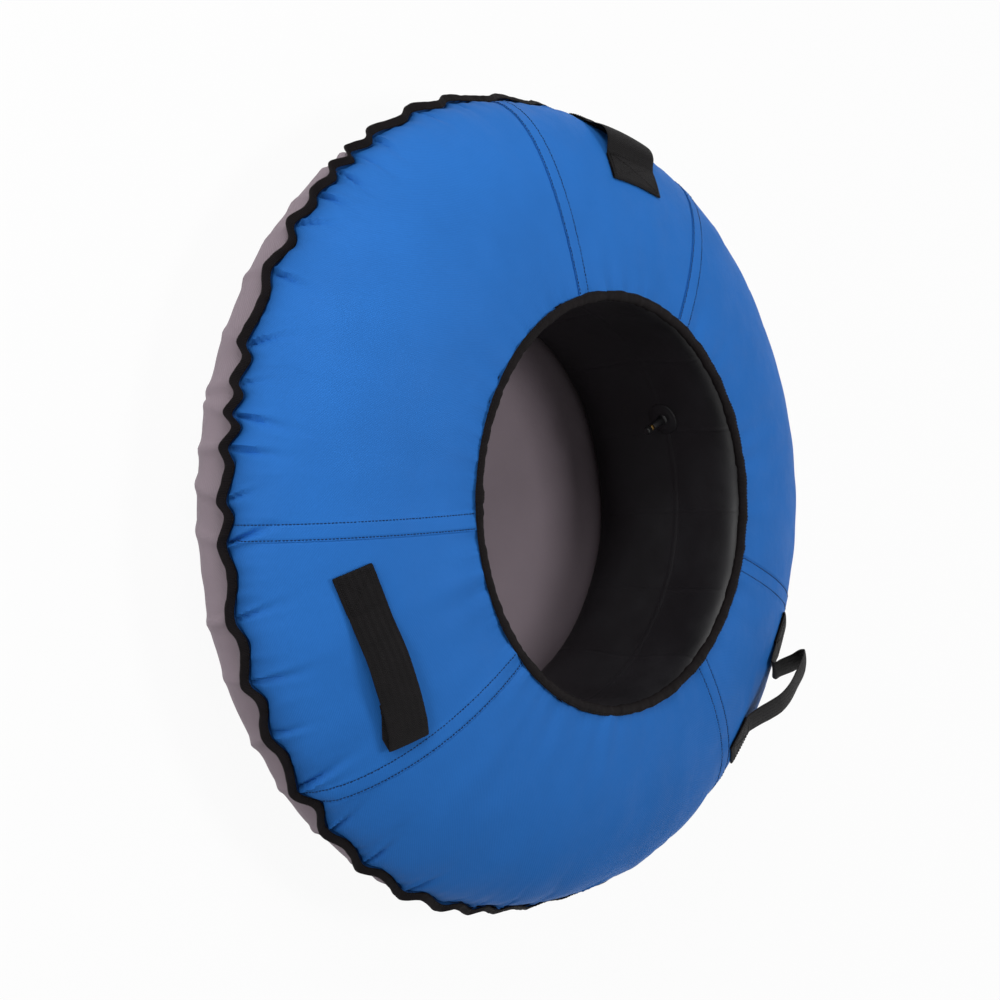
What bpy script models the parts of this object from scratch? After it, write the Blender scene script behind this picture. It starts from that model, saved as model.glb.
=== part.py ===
"""Snow tube: an inflated rubber ring in a sewn cover, lying flat on its grey base.

The cover is six blue panels over a grey base disc, joined in a scalloped bound seam.
A bound, elasticated hem leaves the middle open. Three webbing handles sit on narrow
panels. The ring's valve stands on its inner wall, inside the open middle.
Metres, +Z up. The origin is the middle of the flat base and the front strap is at -X.
"""

import math

import bmesh
import bpy
import numpy as np

# Cover outline: the dome above its widest line and the skirt below it
OUTER_RADIUS = 0.5
DOME_CENTRE_RADIUS = 0.2
WIDEST_HEIGHT = 0.0785
DOME_RISE = 0.1695
SKIRT_WIDTH = 0.22
HOLE_RADIUS = 0.2526
DOME_POWER = 0.9

# Fabric, seam and clearances
GAP = 0.0003
FABRIC = 0.001
TAPE = 0.0012
SEAM_HEIGHT = 0.112
SEAM_WAVE = 0.006
FLANGE = 0.013
LIP_START = 0.0018
STRIP_HALF_WIDTH = 0.009
SCALLOP_SHARES = (0.5, 0.5, -1.0)
SCALLOP_VARIATION = (0.85, 0.3, 7.0)

# Panels: azimuth of each seam in degrees, coarse cells to the next seam, panel name
SEAMS = (
    (39.6, 8, "panel_right"),
    (73.0, 17, "panel_side_right"),
    (150.5, 9, "panel_front"),
    (190.5, 19, "panel_side_left"),
    (274.8, 8, "panel_left"),
    (312.5, 20, "panel_rear"),
)
DOME_ROWS = (18.0, 30.0, 43.0, 57.0, 71.0)
SKIRT_ROWS = (18.0, 40.0, 62.0, 80.0, 90.0)
BELOW_SEAM_ROW = 2.0

# Hole binding and its elastic
CASING_WIDTH = 0.0132
CASING_DEPTH = 0.0096
CASING_WALL = 0.0012
CASING_MOUTH = 25.0
CASING_CORNERS = 6
HEM_TUCK = 0.0056
ELASTIC_RADIUS = 0.0023
ELASTIC_SHIFT = 0.002
ELASTIC_SIDES = 5

# Rubber ring: it fills the cover between two rows and stands free towards the hole
TUBE_WALL = 0.0026
TUBE_INNER_RADIUS = 0.2528
TUBE_MOULD_HEIGHT = 0.135
TUBE_SEAM_ROW = 9.0
TUBE_CLEAR_ROWS = (-30.0, 15.0)
WALL_STEPS = 4
WALL_PULL_SHARE = 0.95
CAVITY_COLUMNS = 40
CAVITY_SIDES = 10

# Valve, measured along its axis from the rubber wall towards the middle of the hole
VALVE_AZIMUTH = 116.32
PATCH_RADIUS = 0.021
PATCH_CROWN_SHARE = 0.55
PATCH_SEAT = 0.0005
PATCH_THICKNESS = 0.0025
PATCH_EDGE_SHARE = 0.4
TUBE_HOLE_RADIUS = 0.0036
INSERT_RADIUS = 0.003
INSERT_BORE = 0.0018
THREAD_RADIUS = 0.00385
INSERT_BACK = 0.0036
INSERT_END = 0.037
SLEEVE_FOOT_RADIUS = 0.009
SLEEVE_FOOT = 0.0022
SLEEVE_RADIUS = 0.0055
SLEEVE_TIP_RADIUS = 0.0046
SLEEVE_END = 0.026
CORE_START = 0.02
CORE_RADIUS = 0.0015
CORE_BORE = 0.0008
CORE_SETBACK = 0.0005
PIN_RADIUS = 0.0005
PIN_COLLAR_RADIUS = 0.0013
PIN_COLLAR = 0.0015
CAP_START = 0.0325
CAP_RADIUS = 0.0053
CAP_TOP = 0.0018
SEAL_THICKNESS = 0.001
VALVE_SIDES = 16

# Webbing handles. Each loop lies between two sewn ends, and its path is given in shares:
# along, of half its length from its middle, and up, of its rise over the sewn ends
STRAP_THICKNESS = 0.0018
STRAP_WIDTH = 0.047
STRAP_SEAT = 0.0005
STRAP_COLUMNS = 3
TAB_LENGTH = 0.047
TAB_STEPS = 3
FOLD_STEPS = 3
ARC_STEPS = 400
HANDLE_SEAM_CLEAR = 0.13748
LOOP_LENGTH = 0.114
LEFT_AZIMUTH = 295.4
LEFT_RISE = 0.0087
LEFT_PATH_SHARES = ((-0.74, 0.08), (-0.38, 0.43), (0.18, 0.92), (0.74, 1.0), (1.14, 0.8))
LEFT_TURN_SHARE = 0.86
RIGHT_AZIMUTH = 55.7
RIGHT_RISE = 0.0367
RIGHT_PATH_SHARES = ((-0.94, 0.02), (-0.85, 0.09), (-0.65, 0.28), (-0.46, 0.5),
                     (-0.21, 0.75), (0.0, 0.88), (0.35, 0.96), (0.66, 1.0),
                     (0.73, 0.98), (0.73, 0.89), (0.61, 0.61), (0.49, 0.29),
                     (0.44, 0.16), (0.47, 0.07), (0.6, 0.03), (0.81, 0.01))
FRONT_AZIMUTH = 169.65
FRONT_WIDTH = 0.09
FRONT_COLUMNS = 5
FRONT_SEAM_CLEAR = 0.0099
FRONT_TAB = 0.038
FRONT_LOOP = 0.067
FRONT_RISE = 0.0115
FRONT_PATH_SHARES = ((-0.76, 0.24), (-0.46, 0.76), (-0.16, 1.0), (0.16, 1.0),
                     (0.46, 0.76), (0.76, 0.24))

FABRIC_BLUE = (0.032, 0.165, 0.53)
BASE_GREY = (0.26, 0.215, 0.25)
TAPE_BLACK = (0.011, 0.009, 0.0095)
WEBBING_BLACK = (0.012, 0.0105, 0.0105)
RUBBER_BLACK = (0.02, 0.019, 0.021)
ELASTIC_WHITE = (0.55, 0.54, 0.52)
BRASS = (0.62, 0.44, 0.18)
CAP_BLACK = (0.014, 0.014, 0.015)


def clear_scene():
    for item in list(bpy.data.objects):
        bpy.data.objects.remove(item, do_unlink=True)


def make_material(name, colour, roughness, metallic=0.0):
    material = bpy.data.materials.new(name)
    material.use_nodes = True
    shader = material.node_tree.nodes["Principled BSDF"]
    shader.inputs["Base Color"].default_value = (*colour, 1.0)
    shader.inputs["Roughness"].default_value = roughness
    shader.inputs["Metallic"].default_value = metallic
    return material


class Solid:
    """Collects points and faces of one closed body."""

    def __init__(self):
        self.points = []
        self.faces = []

    def row(self, points):
        """Add a row of points and return its indices."""
        start = len(self.points)
        self.points.extend(tuple(p) for p in np.asarray(points, float))
        return list(range(start, len(self.points)))

    def band(self, first, second, closed):
        """Join two rows, of equal length or with twice as many cells in the first."""
        if closed:
            first = first + first[:1]
            second = second + second[:1]
        if len(first) == len(second):
            for i in range(len(first) - 1):
                self.faces.append((first[i], first[i + 1], second[i + 1], second[i]))
            return
        for i in range(len(second) - 1):
            j = 2 * i
            self.faces.append((first[j], first[j + 1], second[i]))
            self.faces.append((second[i], first[j + 1], second[i + 1]))
            self.faces.append((first[j + 1], first[j + 2], second[i + 1]))

    def fan(self, row, point):
        """Close a round row on one point."""
        centre = self.row([point])[0]
        for i in range(len(row)):
            self.faces.append((row[i], row[(i + 1) % len(row)], centre))

    def slab(self, outer_rows, inner_rows, closed):
        """A sheet with two faces: rows of points on each, joined along its edges."""
        outer = [self.row(points) for points in outer_rows]
        inner = [self.row(points) for points in inner_rows]
        for side in (outer, inner):
            for i in range(len(side) - 1):
                self.band(side[i], side[i + 1], closed)
        self.band(outer[0], inner[0], closed)
        self.band(outer[-1], inner[-1], closed)
        if not closed:
            for end in (0, -1):
                for i in range(len(outer) - 1):
                    self.faces.append((outer[i][end], outer[i + 1][end],
                                       inner[i + 1][end], inner[i][end]))

    def loop_of_rows(self, rows, closed):
        """A body whose cross-section is a closed outline: one row for each corner."""
        rings = [self.row(points) for points in rows]
        for i in range(len(rings)):
            self.band(rings[i], rings[(i + 1) % len(rings)], closed)
        if not closed:
            for end in (0, -1):
                self.faces.append(tuple(ring[end] for ring in rings))

    def build(self, name, material, origin=(0.0, 0.0, 0.0), smooth_below=0.0):
        """Make the object, with its faces pointing out and its origin at a point."""
        mesh = bpy.data.meshes.new(name)
        place = np.asarray(origin, float)
        points = np.asarray(self.points) - place
        mesh.from_pydata(points.tolist(), [], self.faces)
        work = bmesh.new()
        work.from_mesh(mesh)
        bmesh.ops.triangulate(work, faces=[f for f in work.faces if len(f.verts) > 4])
        bmesh.ops.recalc_face_normals(work, faces=work.faces)
        work.to_mesh(mesh)
        work.free()
        if smooth_below:
            mesh.shade_smooth()
            mesh.set_sharp_from_angle(angle=math.radians(smooth_below))
        mesh.materials.append(material)
        item = bpy.data.objects.new(name, mesh)
        item.location = place.tolist()
        bpy.context.scene.collection.objects.link(item)
        return item


def polar(radius, azimuth, height):
    """Points from radius, azimuth in radians and height."""
    radius, azimuth, height = np.broadcast_arrays(radius, azimuth, height)
    return np.stack([radius * np.cos(azimuth), radius * np.sin(azimuth), height], -1)


def cover_profile(angle, inset=0.0):
    """Radius and height of the cover's section, at an angle in degrees about its widest line.

    Above the widest line it is a quarter superellipse that rises to the crest, and
    below it a quarter ellipse that runs out flat in the base. inset goes inwards.
    """
    turn = np.radians(np.clip(np.abs(angle), 0.02, 89.98))
    c, s = np.cos(turn), np.sin(turn)
    dome_width = OUTER_RADIUS - DOME_CENTRE_RADIUS
    above = np.asarray(angle) >= 0.0
    dome_slope = (DOME_POWER * DOME_RISE * s ** (DOME_POWER - 1) * c,
                  DOME_POWER * dome_width * c ** (DOME_POWER - 1) * s)
    skirt_slope = (c / SKIRT_WIDTH, -s / WIDEST_HEIGHT)
    radius = np.where(above, DOME_CENTRE_RADIUS + dome_width * c ** DOME_POWER,
                      OUTER_RADIUS - SKIRT_WIDTH + SKIRT_WIDTH * c)
    height = np.where(above, WIDEST_HEIGHT + DOME_RISE * s ** DOME_POWER,
                      WIDEST_HEIGHT - WIDEST_HEIGHT * s)
    out_r = np.where(above, dome_slope[0], skirt_slope[0])
    out_z = np.where(above, dome_slope[1], skirt_slope[1])
    size = np.hypot(out_r, out_z)
    return radius - inset * out_r / size, height - inset * out_z / size


def angle_at_height(height):
    """Section angle at a height on the dome."""
    share = (np.asarray(height) - WIDEST_HEIGHT) / DOME_RISE
    return np.degrees(np.arcsin(share ** (1.0 / DOME_POWER)))


def angle_at_radius(radius):
    """Section angle at a radius on the dome."""
    share = (radius - DOME_CENTRE_RADIUS) / (OUTER_RADIUS - DOME_CENTRE_RADIUS)
    return np.degrees(np.arccos(share ** (1.0 / DOME_POWER)))


def azimuth_grid():
    """Azimuths of the fine columns, two to a coarse cell, with each seam on a column."""
    columns = []
    for i, (start, cells, _) in enumerate(SEAMS):
        end = SEAMS[(i + 1) % len(SEAMS)][0]
        span = (end - start) % 360.0
        columns.extend(start + span * k / (2 * cells) for k in range(2 * cells))
    return np.radians(columns)


FINE = azimuth_grid()
COARSE = FINE[::2]
HEM_ANGLE = float(angle_at_radius(HOLE_RADIUS - HEM_TUCK))


def seam_heights():
    """Height of the bound seam at each fine column: broad lobes between sharp dents."""
    count = len(FINE)
    period = len(SCALLOP_SHARES)
    shape = np.array([SCALLOP_SHARES[k % period] for k in range(count)])
    lobe = np.arange(count) // period
    base, change, pace = SCALLOP_VARIATION
    size = base + change * np.sin(pace * lobe) * np.cos(lobe / pace)
    return SEAM_HEIGHT + SEAM_WAVE * shape * size


SEAM = seam_heights()
SEAM_ANGLE = angle_at_height(SEAM)
SEAM_SHIFT = SEAM_ANGLE - float(angle_at_height(SEAM_HEIGHT))


def sheet_rows(above, inset, ply_height):
    """Rows of one cover ply, from the flange's tip over the seam and on.

    ply_height is the ply face's height over the middle of the seam. The first three
    rows lie on the fine columns and follow the scallops, and the rest on the coarse.
    """
    heights = SEAM + ply_height
    corner_r, _ = cover_profile(angle_at_height(heights), inset)
    tip_r, _ = cover_profile(SEAM_ANGLE)
    near = DOME_ROWS[0] if above else BELOW_SEAM_ROW
    rows = [(tip_r + FLANGE, heights), (corner_r, heights)]
    rows.append(cover_profile(near + SEAM_SHIFT / 2, inset))
    rest = DOME_ROWS[1:] + (HEM_ANGLE,) if above else tuple(-a for a in SKIRT_ROWS)
    for angle in rest:
        rows.append(cover_profile(np.full(len(COARSE), angle), inset))
    return rows


def make_panels(fabric):
    """The six sectors of the dome, whose lower edges turn out into the seam flange."""
    outer = sheet_rows(True, 0.0, GAP / 2 + FABRIC)
    inner = sheet_rows(True, FABRIC, GAP / 2)
    start = 0
    for i, (_, cells, name) in enumerate(SEAMS):
        body = Solid()
        faces = []
        for rows in (outer, inner):
            side = []
            for radius, height in rows:
                step = 2 if len(radius) == len(COARSE) else 1
                first = start // step
                picks = np.arange(first, first + 2 * cells // step + 1) % len(radius)
                azimuth = np.unwrap(FINE[::step][picks])
                r = radius[picks]
                azimuth[0] += GAP / 2 / r[0]
                azimuth[-1] -= GAP / 2 / r[-1]
                side.append(polar(r, azimuth, height[picks]))
            faces.append(side)
        body.slab(faces[0], faces[1], False)
        body.build(name, fabric, smooth_below=30.0)
        start += 2 * cells


def make_seam_strips(fabric):
    """The folded allowance under each seam between two panels."""
    top = FABRIC + GAP
    start = 0
    for i, (_, cells, _) in enumerate(SEAMS):
        body = Solid()
        sides = []
        for inset in (top, top + FABRIC):
            rows = []
            for angle in DOME_ROWS[1:]:
                r, z = cover_profile(angle, inset)
                picks = (start // 2 - 1, start // 2, (start // 2 + 1) % len(COARSE))
                middle = polar(r, COARSE[picks[1]], z)
                row = []
                for k in picks:
                    away = polar(r, COARSE[k], z) - middle
                    reach = np.linalg.norm(away)
                    row.append(middle + away * (STRIP_HALF_WIDTH / reach if reach else 0.0))
                rows.append(row)
            sides.append(rows)
        body.slab(sides[0], sides[1], False)
        body.build("seam_strip_%d" % (i + 1), fabric)
        start += 2 * cells


def make_base_disc(fabric):
    """The grey disc: flange, skirt and flat base, drawn up to the seam."""
    body = Solid()
    sides = []
    for inset, ply_height in ((0.0, -GAP / 2 - FABRIC), (FABRIC, -GAP / 2)):
        side = []
        for radius, height in sheet_rows(False, inset, ply_height):
            azimuth = FINE if len(radius) == len(FINE) else COARSE
            side.append(body.row(polar(radius, azimuth, height)))
        for i in range(len(side) - 1):
            body.band(side[i], side[i + 1], True)
        body.fan(side[-1], (0.0, 0.0, inset))
        sides.append(side)
    body.band(sides[0][0], sides[1][0], True)
    return body.build("base_disc", fabric, smooth_below=30.0)


def make_rim_binding(tape):
    """The folded tape that grips both plies all round the scalloped flange."""
    seam_r, _ = cover_profile(SEAM_ANGLE)
    grip = GAP / 2 + FABRIC + GAP
    end = FLANGE + GAP
    outline = ((LIP_START, grip + TAPE), (end + TAPE, grip + TAPE),
               (end + TAPE, -grip - TAPE), (LIP_START, -grip - TAPE),
               (LIP_START, -grip), (end, -grip), (end, grip), (LIP_START, grip))
    body = Solid()
    body.loop_of_rows([polar(seam_r + x, FINE, SEAM + z) for x, z in outline], True)
    return body.build("rim_binding", tape, smooth_below=40.0)


def make_hole_binding(tape, elastic):
    """The round casing over the panels' inner edge, and the elastic inside it."""
    edge_z = float(cover_profile(HEM_ANGLE, FABRIC / 2)[1])
    centre_r = HOLE_RADIUS - CASING_WIDTH / 2
    mouth = math.radians(CASING_MOUTH)
    turns = np.linspace(mouth, 2 * math.pi - mouth, CASING_CORNERS)
    rows = []
    for wall, order in ((0.0, 1), (CASING_WALL, -1)):
        r = centre_r + (CASING_WIDTH / 2 - wall) * np.cos(turns[::order])
        z = edge_z + (CASING_DEPTH / 2 - wall) * np.sin(turns[::order])
        if wall:
            lip_angle = angle_at_radius(r[0])
            z[0] = cover_profile(lip_angle, FABRIC + GAP)[1]
            z[-1] = cover_profile(lip_angle, -GAP)[1]
        rows.extend(zip(r, z))
    casing = Solid()
    casing.loop_of_rows([polar(r, COARSE, z) for r, z in rows], True)
    casing.build("hole_binding", tape, smooth_below=60.0)
    cord = Solid()
    rows = []
    for k in range(ELASTIC_SIDES):
        turn = 2 * math.pi * (k + 0.5) / ELASTIC_SIDES
        rows.append(polar(centre_r - ELASTIC_SHIFT + ELASTIC_RADIUS * math.cos(turn), COARSE,
                          edge_z + ELASTIC_RADIUS * math.sin(turn)))
    cord.loop_of_rows(rows, True)
    cord.build("hem_elastic", elastic)


def hermite(start, start_pull, end, end_pull, steps):
    """Points of a cubic between two points, without the last one."""
    t = np.arange(steps) / steps
    weights = (2 * t ** 3 - 3 * t ** 2 + 1, t ** 3 - 2 * t ** 2 + t,
               3 * t ** 2 - 2 * t ** 3, t ** 3 - t ** 2)
    parts = [np.outer(w, p) for w, p in zip(weights, (start, start_pull, end, end_pull))]
    return sum(parts)


def tube_section(depth):
    """Section of the rubber ring's outside, or of its cavity a wall deeper.

    It follows the cover's own rows from the crest out and down to the base, under the
    seam strips, and then bows back up to the crest through the mould line.
    """
    base_clear = FABRIC + GAP
    crest_clear = base_clear + FABRIC + GAP
    angles = DOME_ROWS[::-1] + (TUBE_SEAM_ROW, BELOW_SEAM_ROW)
    angles += tuple(-a for a in SKIRT_ROWS[:-1])
    points = []
    for angle in angles:
        inset = np.interp(angle, TUBE_CLEAR_ROWS, (base_clear, crest_clear)) + depth
        points.append(np.array(cover_profile(angle, inset), float))
    crest, base = points[0], points[-1]
    mould = np.array([TUBE_INNER_RADIUS + depth, TUBE_MOULD_HEIGHT])
    rise = WALL_PULL_SHARE * (crest[1] - mould[1])
    drop = WALL_PULL_SHARE * (mould[1] - base[1])
    inward = np.array([-1.0, 0.0])
    up = np.array([0.0, 1.0])
    outward = (points[1] - crest) / np.linalg.norm(points[1] - crest)
    low = hermite(base, inward * drop, mould, up * drop, WALL_STEPS)
    high = hermite(mould, up * rise, crest, outward * rise, WALL_STEPS)
    return points[:-1] + list(low) + list(high)


def valve_point(x, across, up):
    """A point by its distance from the rubber wall towards the middle of the hole."""
    turn = math.radians(VALVE_AZIMUTH)
    radius = TUBE_INNER_RADIUS - np.asarray(x, float)
    rise = np.broadcast_to(np.asarray(up, float) + TUBE_MOULD_HEIGHT, np.shape(across))
    return np.stack([radius * math.cos(turn) - across * math.sin(turn),
                     radius * math.sin(turn) + across * math.cos(turn), rise], -1)


def cut_out(item, cutter):
    """Take a hidden cutter out of a piece."""
    cutter.hide_render = True
    cutter.display_type = "WIRE"
    cut = item.modifiers.new(cutter.name, "BOOLEAN")
    cut.operation = "DIFFERENCE"
    cut.solver = "EXACT"
    cut.object = cutter


def make_tube(rubber):
    """The hollow rubber ring, open at the hole for its valve."""
    body = Solid()
    body.loop_of_rows([polar(r, COARSE, z) for r, z in tube_section(0.0)], True)
    tube = body.build("inner_tube", rubber, smooth_below=35.0)
    columns = np.arange(CAVITY_COLUMNS) * 2 * math.pi / CAVITY_COLUMNS
    section = tube_section(TUBE_WALL)
    picks = np.round(np.linspace(0, len(section), CAVITY_SIDES, endpoint=False)).astype(int)
    air = Solid()
    air.loop_of_rows([polar(section[k][0], columns, section[k][1]) for k in picks], True)
    cut_out(tube, air.build("tube_air_cutter", rubber))
    reach = 2 * TUBE_WALL
    cut_out(tube, turned("valve_hole_cutter", ((-reach, 0.0), (-reach, TUBE_HOLE_RADIUS),
                                               (reach, TUBE_HOLE_RADIUS), (reach, 0.0)),
                         rubber))


def turned(name, profile, material, reach=0.0):
    """A body turned about the valve's axis, from (distance, radius) corners.

    A profile that starts and ends on the axis makes a plug, and any other a sleeve.
    """
    turns = np.arange(VALVE_SIDES) * 2 * math.pi / VALVE_SIDES
    body = Solid()
    rows = [valve_point(np.full(VALVE_SIDES, x), r * np.cos(turns), r * np.sin(turns))
            for x, r in profile if r]
    if profile[0][1]:
        body.loop_of_rows(rows, True)
    else:
        rings = [body.row(points) for points in rows]
        for i in range(len(rings) - 1):
            body.band(rings[i], rings[i + 1], True)
        for ring, corner in ((rings[0], profile[0]), (rings[-1], profile[-1])):
            body.fan(ring, valve_point(corner[0], 0.0, 0.0))
    return body.build(name, material, valve_point(reach, 0.0, 0.0), smooth_below=40.0)


def wall_radius(height):
    """Radius of the rubber wall round the hole, at heights near its mould line."""
    wall = np.array(tube_section(0.0)[-2 * WALL_STEPS:])
    return np.interp(height, wall[:, 1], wall[:, 0])


def make_patch(rubber):
    """The round rubber base of the valve, bonded to the curve of the wall."""
    turns = np.arange(VALVE_SIDES) * 2 * math.pi / VALVE_SIDES
    body = Solid()
    rows = []
    bore = INSERT_RADIUS + GAP
    crown = PATCH_RADIUS * PATCH_CROWN_SHARE
    edge = PATCH_SEAT + PATCH_THICKNESS * PATCH_EDGE_SHARE
    face = PATCH_SEAT + PATCH_THICKNESS
    for radius, x in ((bore, PATCH_SEAT), (crown, PATCH_SEAT), (PATCH_RADIUS, PATCH_SEAT),
                      (PATCH_RADIUS, edge), (crown, face), (bore, face)):
        height = TUBE_MOULD_HEIGHT + radius * np.sin(turns)
        reach = wall_radius(height) - x
        azimuth = math.radians(VALVE_AZIMUTH) + radius * np.cos(turns) / reach
        rows.append(polar(reach, azimuth, height))
    body.loop_of_rows(rows, True)
    body.build("valve_patch", rubber, smooth_below=40.0)


def make_valve(rubber, brass, plastic):
    """Rubber sleeve over a brass insert, the core with its pin, and the cap with its seal."""
    turns = np.arange(VALVE_SIDES) * 2 * math.pi / VALVE_SIDES
    under = wall_radius(TUBE_MOULD_HEIGHT + SLEEVE_FOOT_RADIUS * np.sin(turns))
    bulge = TUBE_INNER_RADIUS - float(under.min())
    foot = bulge + PATCH_SEAT + PATCH_THICKNESS + GAP
    bore = INSERT_RADIUS + GAP
    turned("valve_sleeve", ((foot, bore), (foot, SLEEVE_FOOT_RADIUS),
                            (foot + SLEEVE_FOOT, SLEEVE_RADIUS),
                            (SLEEVE_END, SLEEVE_TIP_RADIUS), (SLEEVE_END, bore)), rubber)
    shoulder = SLEEVE_END + GAP
    turned("valve_insert", ((-INSERT_BACK, INSERT_BORE), (-INSERT_BACK, INSERT_RADIUS),
                            (shoulder, INSERT_RADIUS), (shoulder, THREAD_RADIUS),
                            (INSERT_END, THREAD_RADIUS), (INSERT_END, INSERT_BORE)), brass)
    tip = INSERT_END - CORE_SETBACK
    turned("valve_core", ((CORE_START, CORE_BORE), (CORE_START, CORE_RADIUS),
                          (tip, CORE_RADIUS), (tip, CORE_BORE)), brass)
    collar = CORE_START - GAP
    turned("valve_pin", ((collar - PIN_COLLAR, 0.0), (collar - PIN_COLLAR, PIN_COLLAR_RADIUS),
                         (collar, PIN_COLLAR_RADIUS), (collar, PIN_RADIUS),
                         (tip, PIN_RADIUS), (tip, 0.0)), brass, collar)
    seal = INSERT_END + GAP
    turned("cap_seal", ((seal, 0.0), (seal, THREAD_RADIUS),
                        (seal + SEAL_THICKNESS, THREAD_RADIUS),
                        (seal + SEAL_THICKNESS, 0.0)), rubber, seal)
    roof = seal + SEAL_THICKNESS + GAP
    mouth = THREAD_RADIUS + GAP
    end = roof + CAP_TOP
    turned("valve_cap", ((roof, 0.0), (roof, mouth), (CAP_START, mouth),
                         (CAP_START, CAP_RADIUS), (roof, CAP_RADIUS), (end, mouth),
                         (end, 0.0)), plastic, CAP_START)


def arc_table():
    """Section angles of the dome from the hole's edge to the seam, and arc lengths there."""
    angles = np.linspace(float(angle_at_radius(HOLE_RADIUS)),
                         float(angle_at_height(SEAM_HEIGHT)), ARC_STEPS)
    radius, height = cover_profile(angles)
    steps = np.hypot(np.diff(radius), np.diff(height))
    return angles, radius, np.concatenate([[0.0], np.cumsum(steps)])


ARC_ANGLES, ARC_RADII, ARC_LENGTHS = arc_table()


def on_dome(arc, azimuth, lift):
    """A point at an arc length from the hole's edge, an azimuth and a lift off the cover."""
    angle = np.interp(arc, ARC_LENGTHS, ARC_ANGLES)
    radius, height = cover_profile(angle, -np.asarray(lift))
    return polar(radius, azimuth, height)


def side_place(azimuth):
    """Where a side handle's (along, lift, across) lies: along runs round the tube."""
    middle = ARC_LENGTHS[-1] - HANDLE_SEAM_CLEAR
    radius = float(np.interp(middle, ARC_LENGTHS, ARC_RADII))

    def place(along, lift, across):
        return on_dome(middle + across, math.radians(azimuth) + along / radius, lift)
    return place


def front_place():
    """Where the front strap's (along, lift, across) lies: along runs out over the dome."""
    middle = ARC_LENGTHS[-1] - FRONT_SEAM_CLEAR - FRONT_TAB - FRONT_LOOP / 2

    def place(along, lift, across):
        arc = middle + along
        radius = np.interp(arc, ARC_LENGTHS, ARC_RADII)
        return on_dome(arc, math.radians(FRONT_AZIMUTH) + across / radius, lift)
    return place


# A strap doubled on itself turns about this radius, and a sewn end has two layers
FOLD_RADIUS = (STRAP_THICKNESS + GAP) / 2
TAB_LOWER = STRAP_SEAT + STRAP_THICKNESS / 2
TAB_UPPER = TAB_LOWER + 2 * FOLD_RADIUS


def fold(along, lift, start, end):
    """The round turn of a strap doubled back on itself, as middle-line points."""
    turns = np.radians(np.linspace(start, end, FOLD_STEPS + 1))
    return [(along + FOLD_RADIUS * math.cos(t), lift + FOLD_RADIUS * math.sin(t))
            for t in turns]


def strap(name, path, place, width, columns, webbing, pivot=(0.0, 0.0, 0.0)):
    """Webbing of even thickness along a path of (along, lift) middle points."""
    line = np.array(path)
    step = np.diff(line, axis=0)
    step = step / np.linalg.norm(step, axis=1)[:, None]
    lead = np.concatenate([step[:1], step[:-1] + step[1:], step[-1:]])
    lead = lead / np.linalg.norm(lead, axis=1)[:, None]
    side = np.stack([-lead[:, 1], lead[:, 0]], -1) * STRAP_THICKNESS / 2
    outline = np.concatenate([line + side, (line - side)[::-1]])
    across = np.linspace(-width / 2, width / 2, columns + 1)
    body = Solid()
    rows = [place(np.full(len(across), a), np.full(len(across), h), across)
            for a, h in outline]
    rings = [body.row(points) for points in rows]
    count = len(line)
    for i in range(2 * count):
        body.band(rings[i], rings[(i + 1) % (2 * count)], False)
    for end in (0, -1):
        for i in range(count - 1):
            j = 2 * count - 1 - i
            body.faces.append((rings[i][end], rings[i + 1][end], rings[j - 1][end],
                               rings[j][end]))
    body.build(name, webbing, pivot, smooth_below=50.0)


def tab_path(stitch, length):
    """A strap end folded under itself, from the stitch line out to the fold and back."""
    outward = math.copysign(1.0, stitch)
    corner = stitch + outward * (length - FOLD_RADIUS - STRAP_THICKNESS / 2)
    run = np.linspace(stitch, corner, TAB_STEPS + 1)
    turn = fold(0.0, TAB_LOWER + FOLD_RADIUS, -90.0, 90.0)[1:-1]
    return ([(a, TAB_LOWER) for a in run]
            + [(corner + outward * a, lift) for a, lift in turn]
            + [(a, TAB_UPPER) for a in run[::-1]])


def make_handle(name, place, sizes, path, tabs, webbing):
    """Two sewn ends and the loop between them, hinged where it leaves its first end.

    sizes are the loop's length, a sewn end's length, the width and its columns, and
    tabs name the sewn ends at the start and the end of the path.
    """
    loop, tab, width, columns = sizes
    stitch = loop / 2
    for i, edge in enumerate((-stitch, stitch)):
        strap(tabs[i], tab_path(edge, tab), place, width, columns, webbing)
    pivot = place(-stitch, TAB_UPPER + STRAP_THICKNESS / 2, 0.0)
    line = [(-stitch + GAP, TAB_UPPER)] + path + [(stitch - GAP, TAB_UPPER)]
    strap(name, line, place, width, columns, webbing, pivot)


def rising(shares, length, rise):
    """Middle-line points from shares of half the loop's length and of its rise."""
    return [(a * length / 2, TAB_UPPER + h * rise) for a, h in shares]


def left_path():
    """The slack loop flops over its second end and folds back to it."""
    back = TAB_UPPER + 2 * FOLD_RADIUS
    corner = LOOP_LENGTH / 2 + TAB_LENGTH - FOLD_RADIUS - STRAP_THICKNESS / 2
    turn = LOOP_LENGTH / 2 * LEFT_TURN_SHARE
    return (rising(LEFT_PATH_SHARES, LOOP_LENGTH, LEFT_RISE)
            + fold(corner, back + FOLD_RADIUS, 90.0, -90.0)
            + [(LOOP_LENGTH / 2, back)]
            + fold(turn, TAB_UPPER + FOLD_RADIUS, 90.0, 270.0))


def make_side_handles(webbing):
    """The left loop lies folded flat, and the right one stands up in a Z."""
    sizes = (LOOP_LENGTH, TAB_LENGTH, STRAP_WIDTH, STRAP_COLUMNS)
    make_handle("left_handle", side_place(LEFT_AZIMUTH), sizes, left_path(),
                ("left_tab_front", "left_tab_rear"), webbing)
    make_handle("right_handle", side_place(RIGHT_AZIMUTH), sizes,
                rising(RIGHT_PATH_SHARES, LOOP_LENGTH, RIGHT_RISE),
                ("right_tab_rear", "right_tab_front"), webbing)


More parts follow.
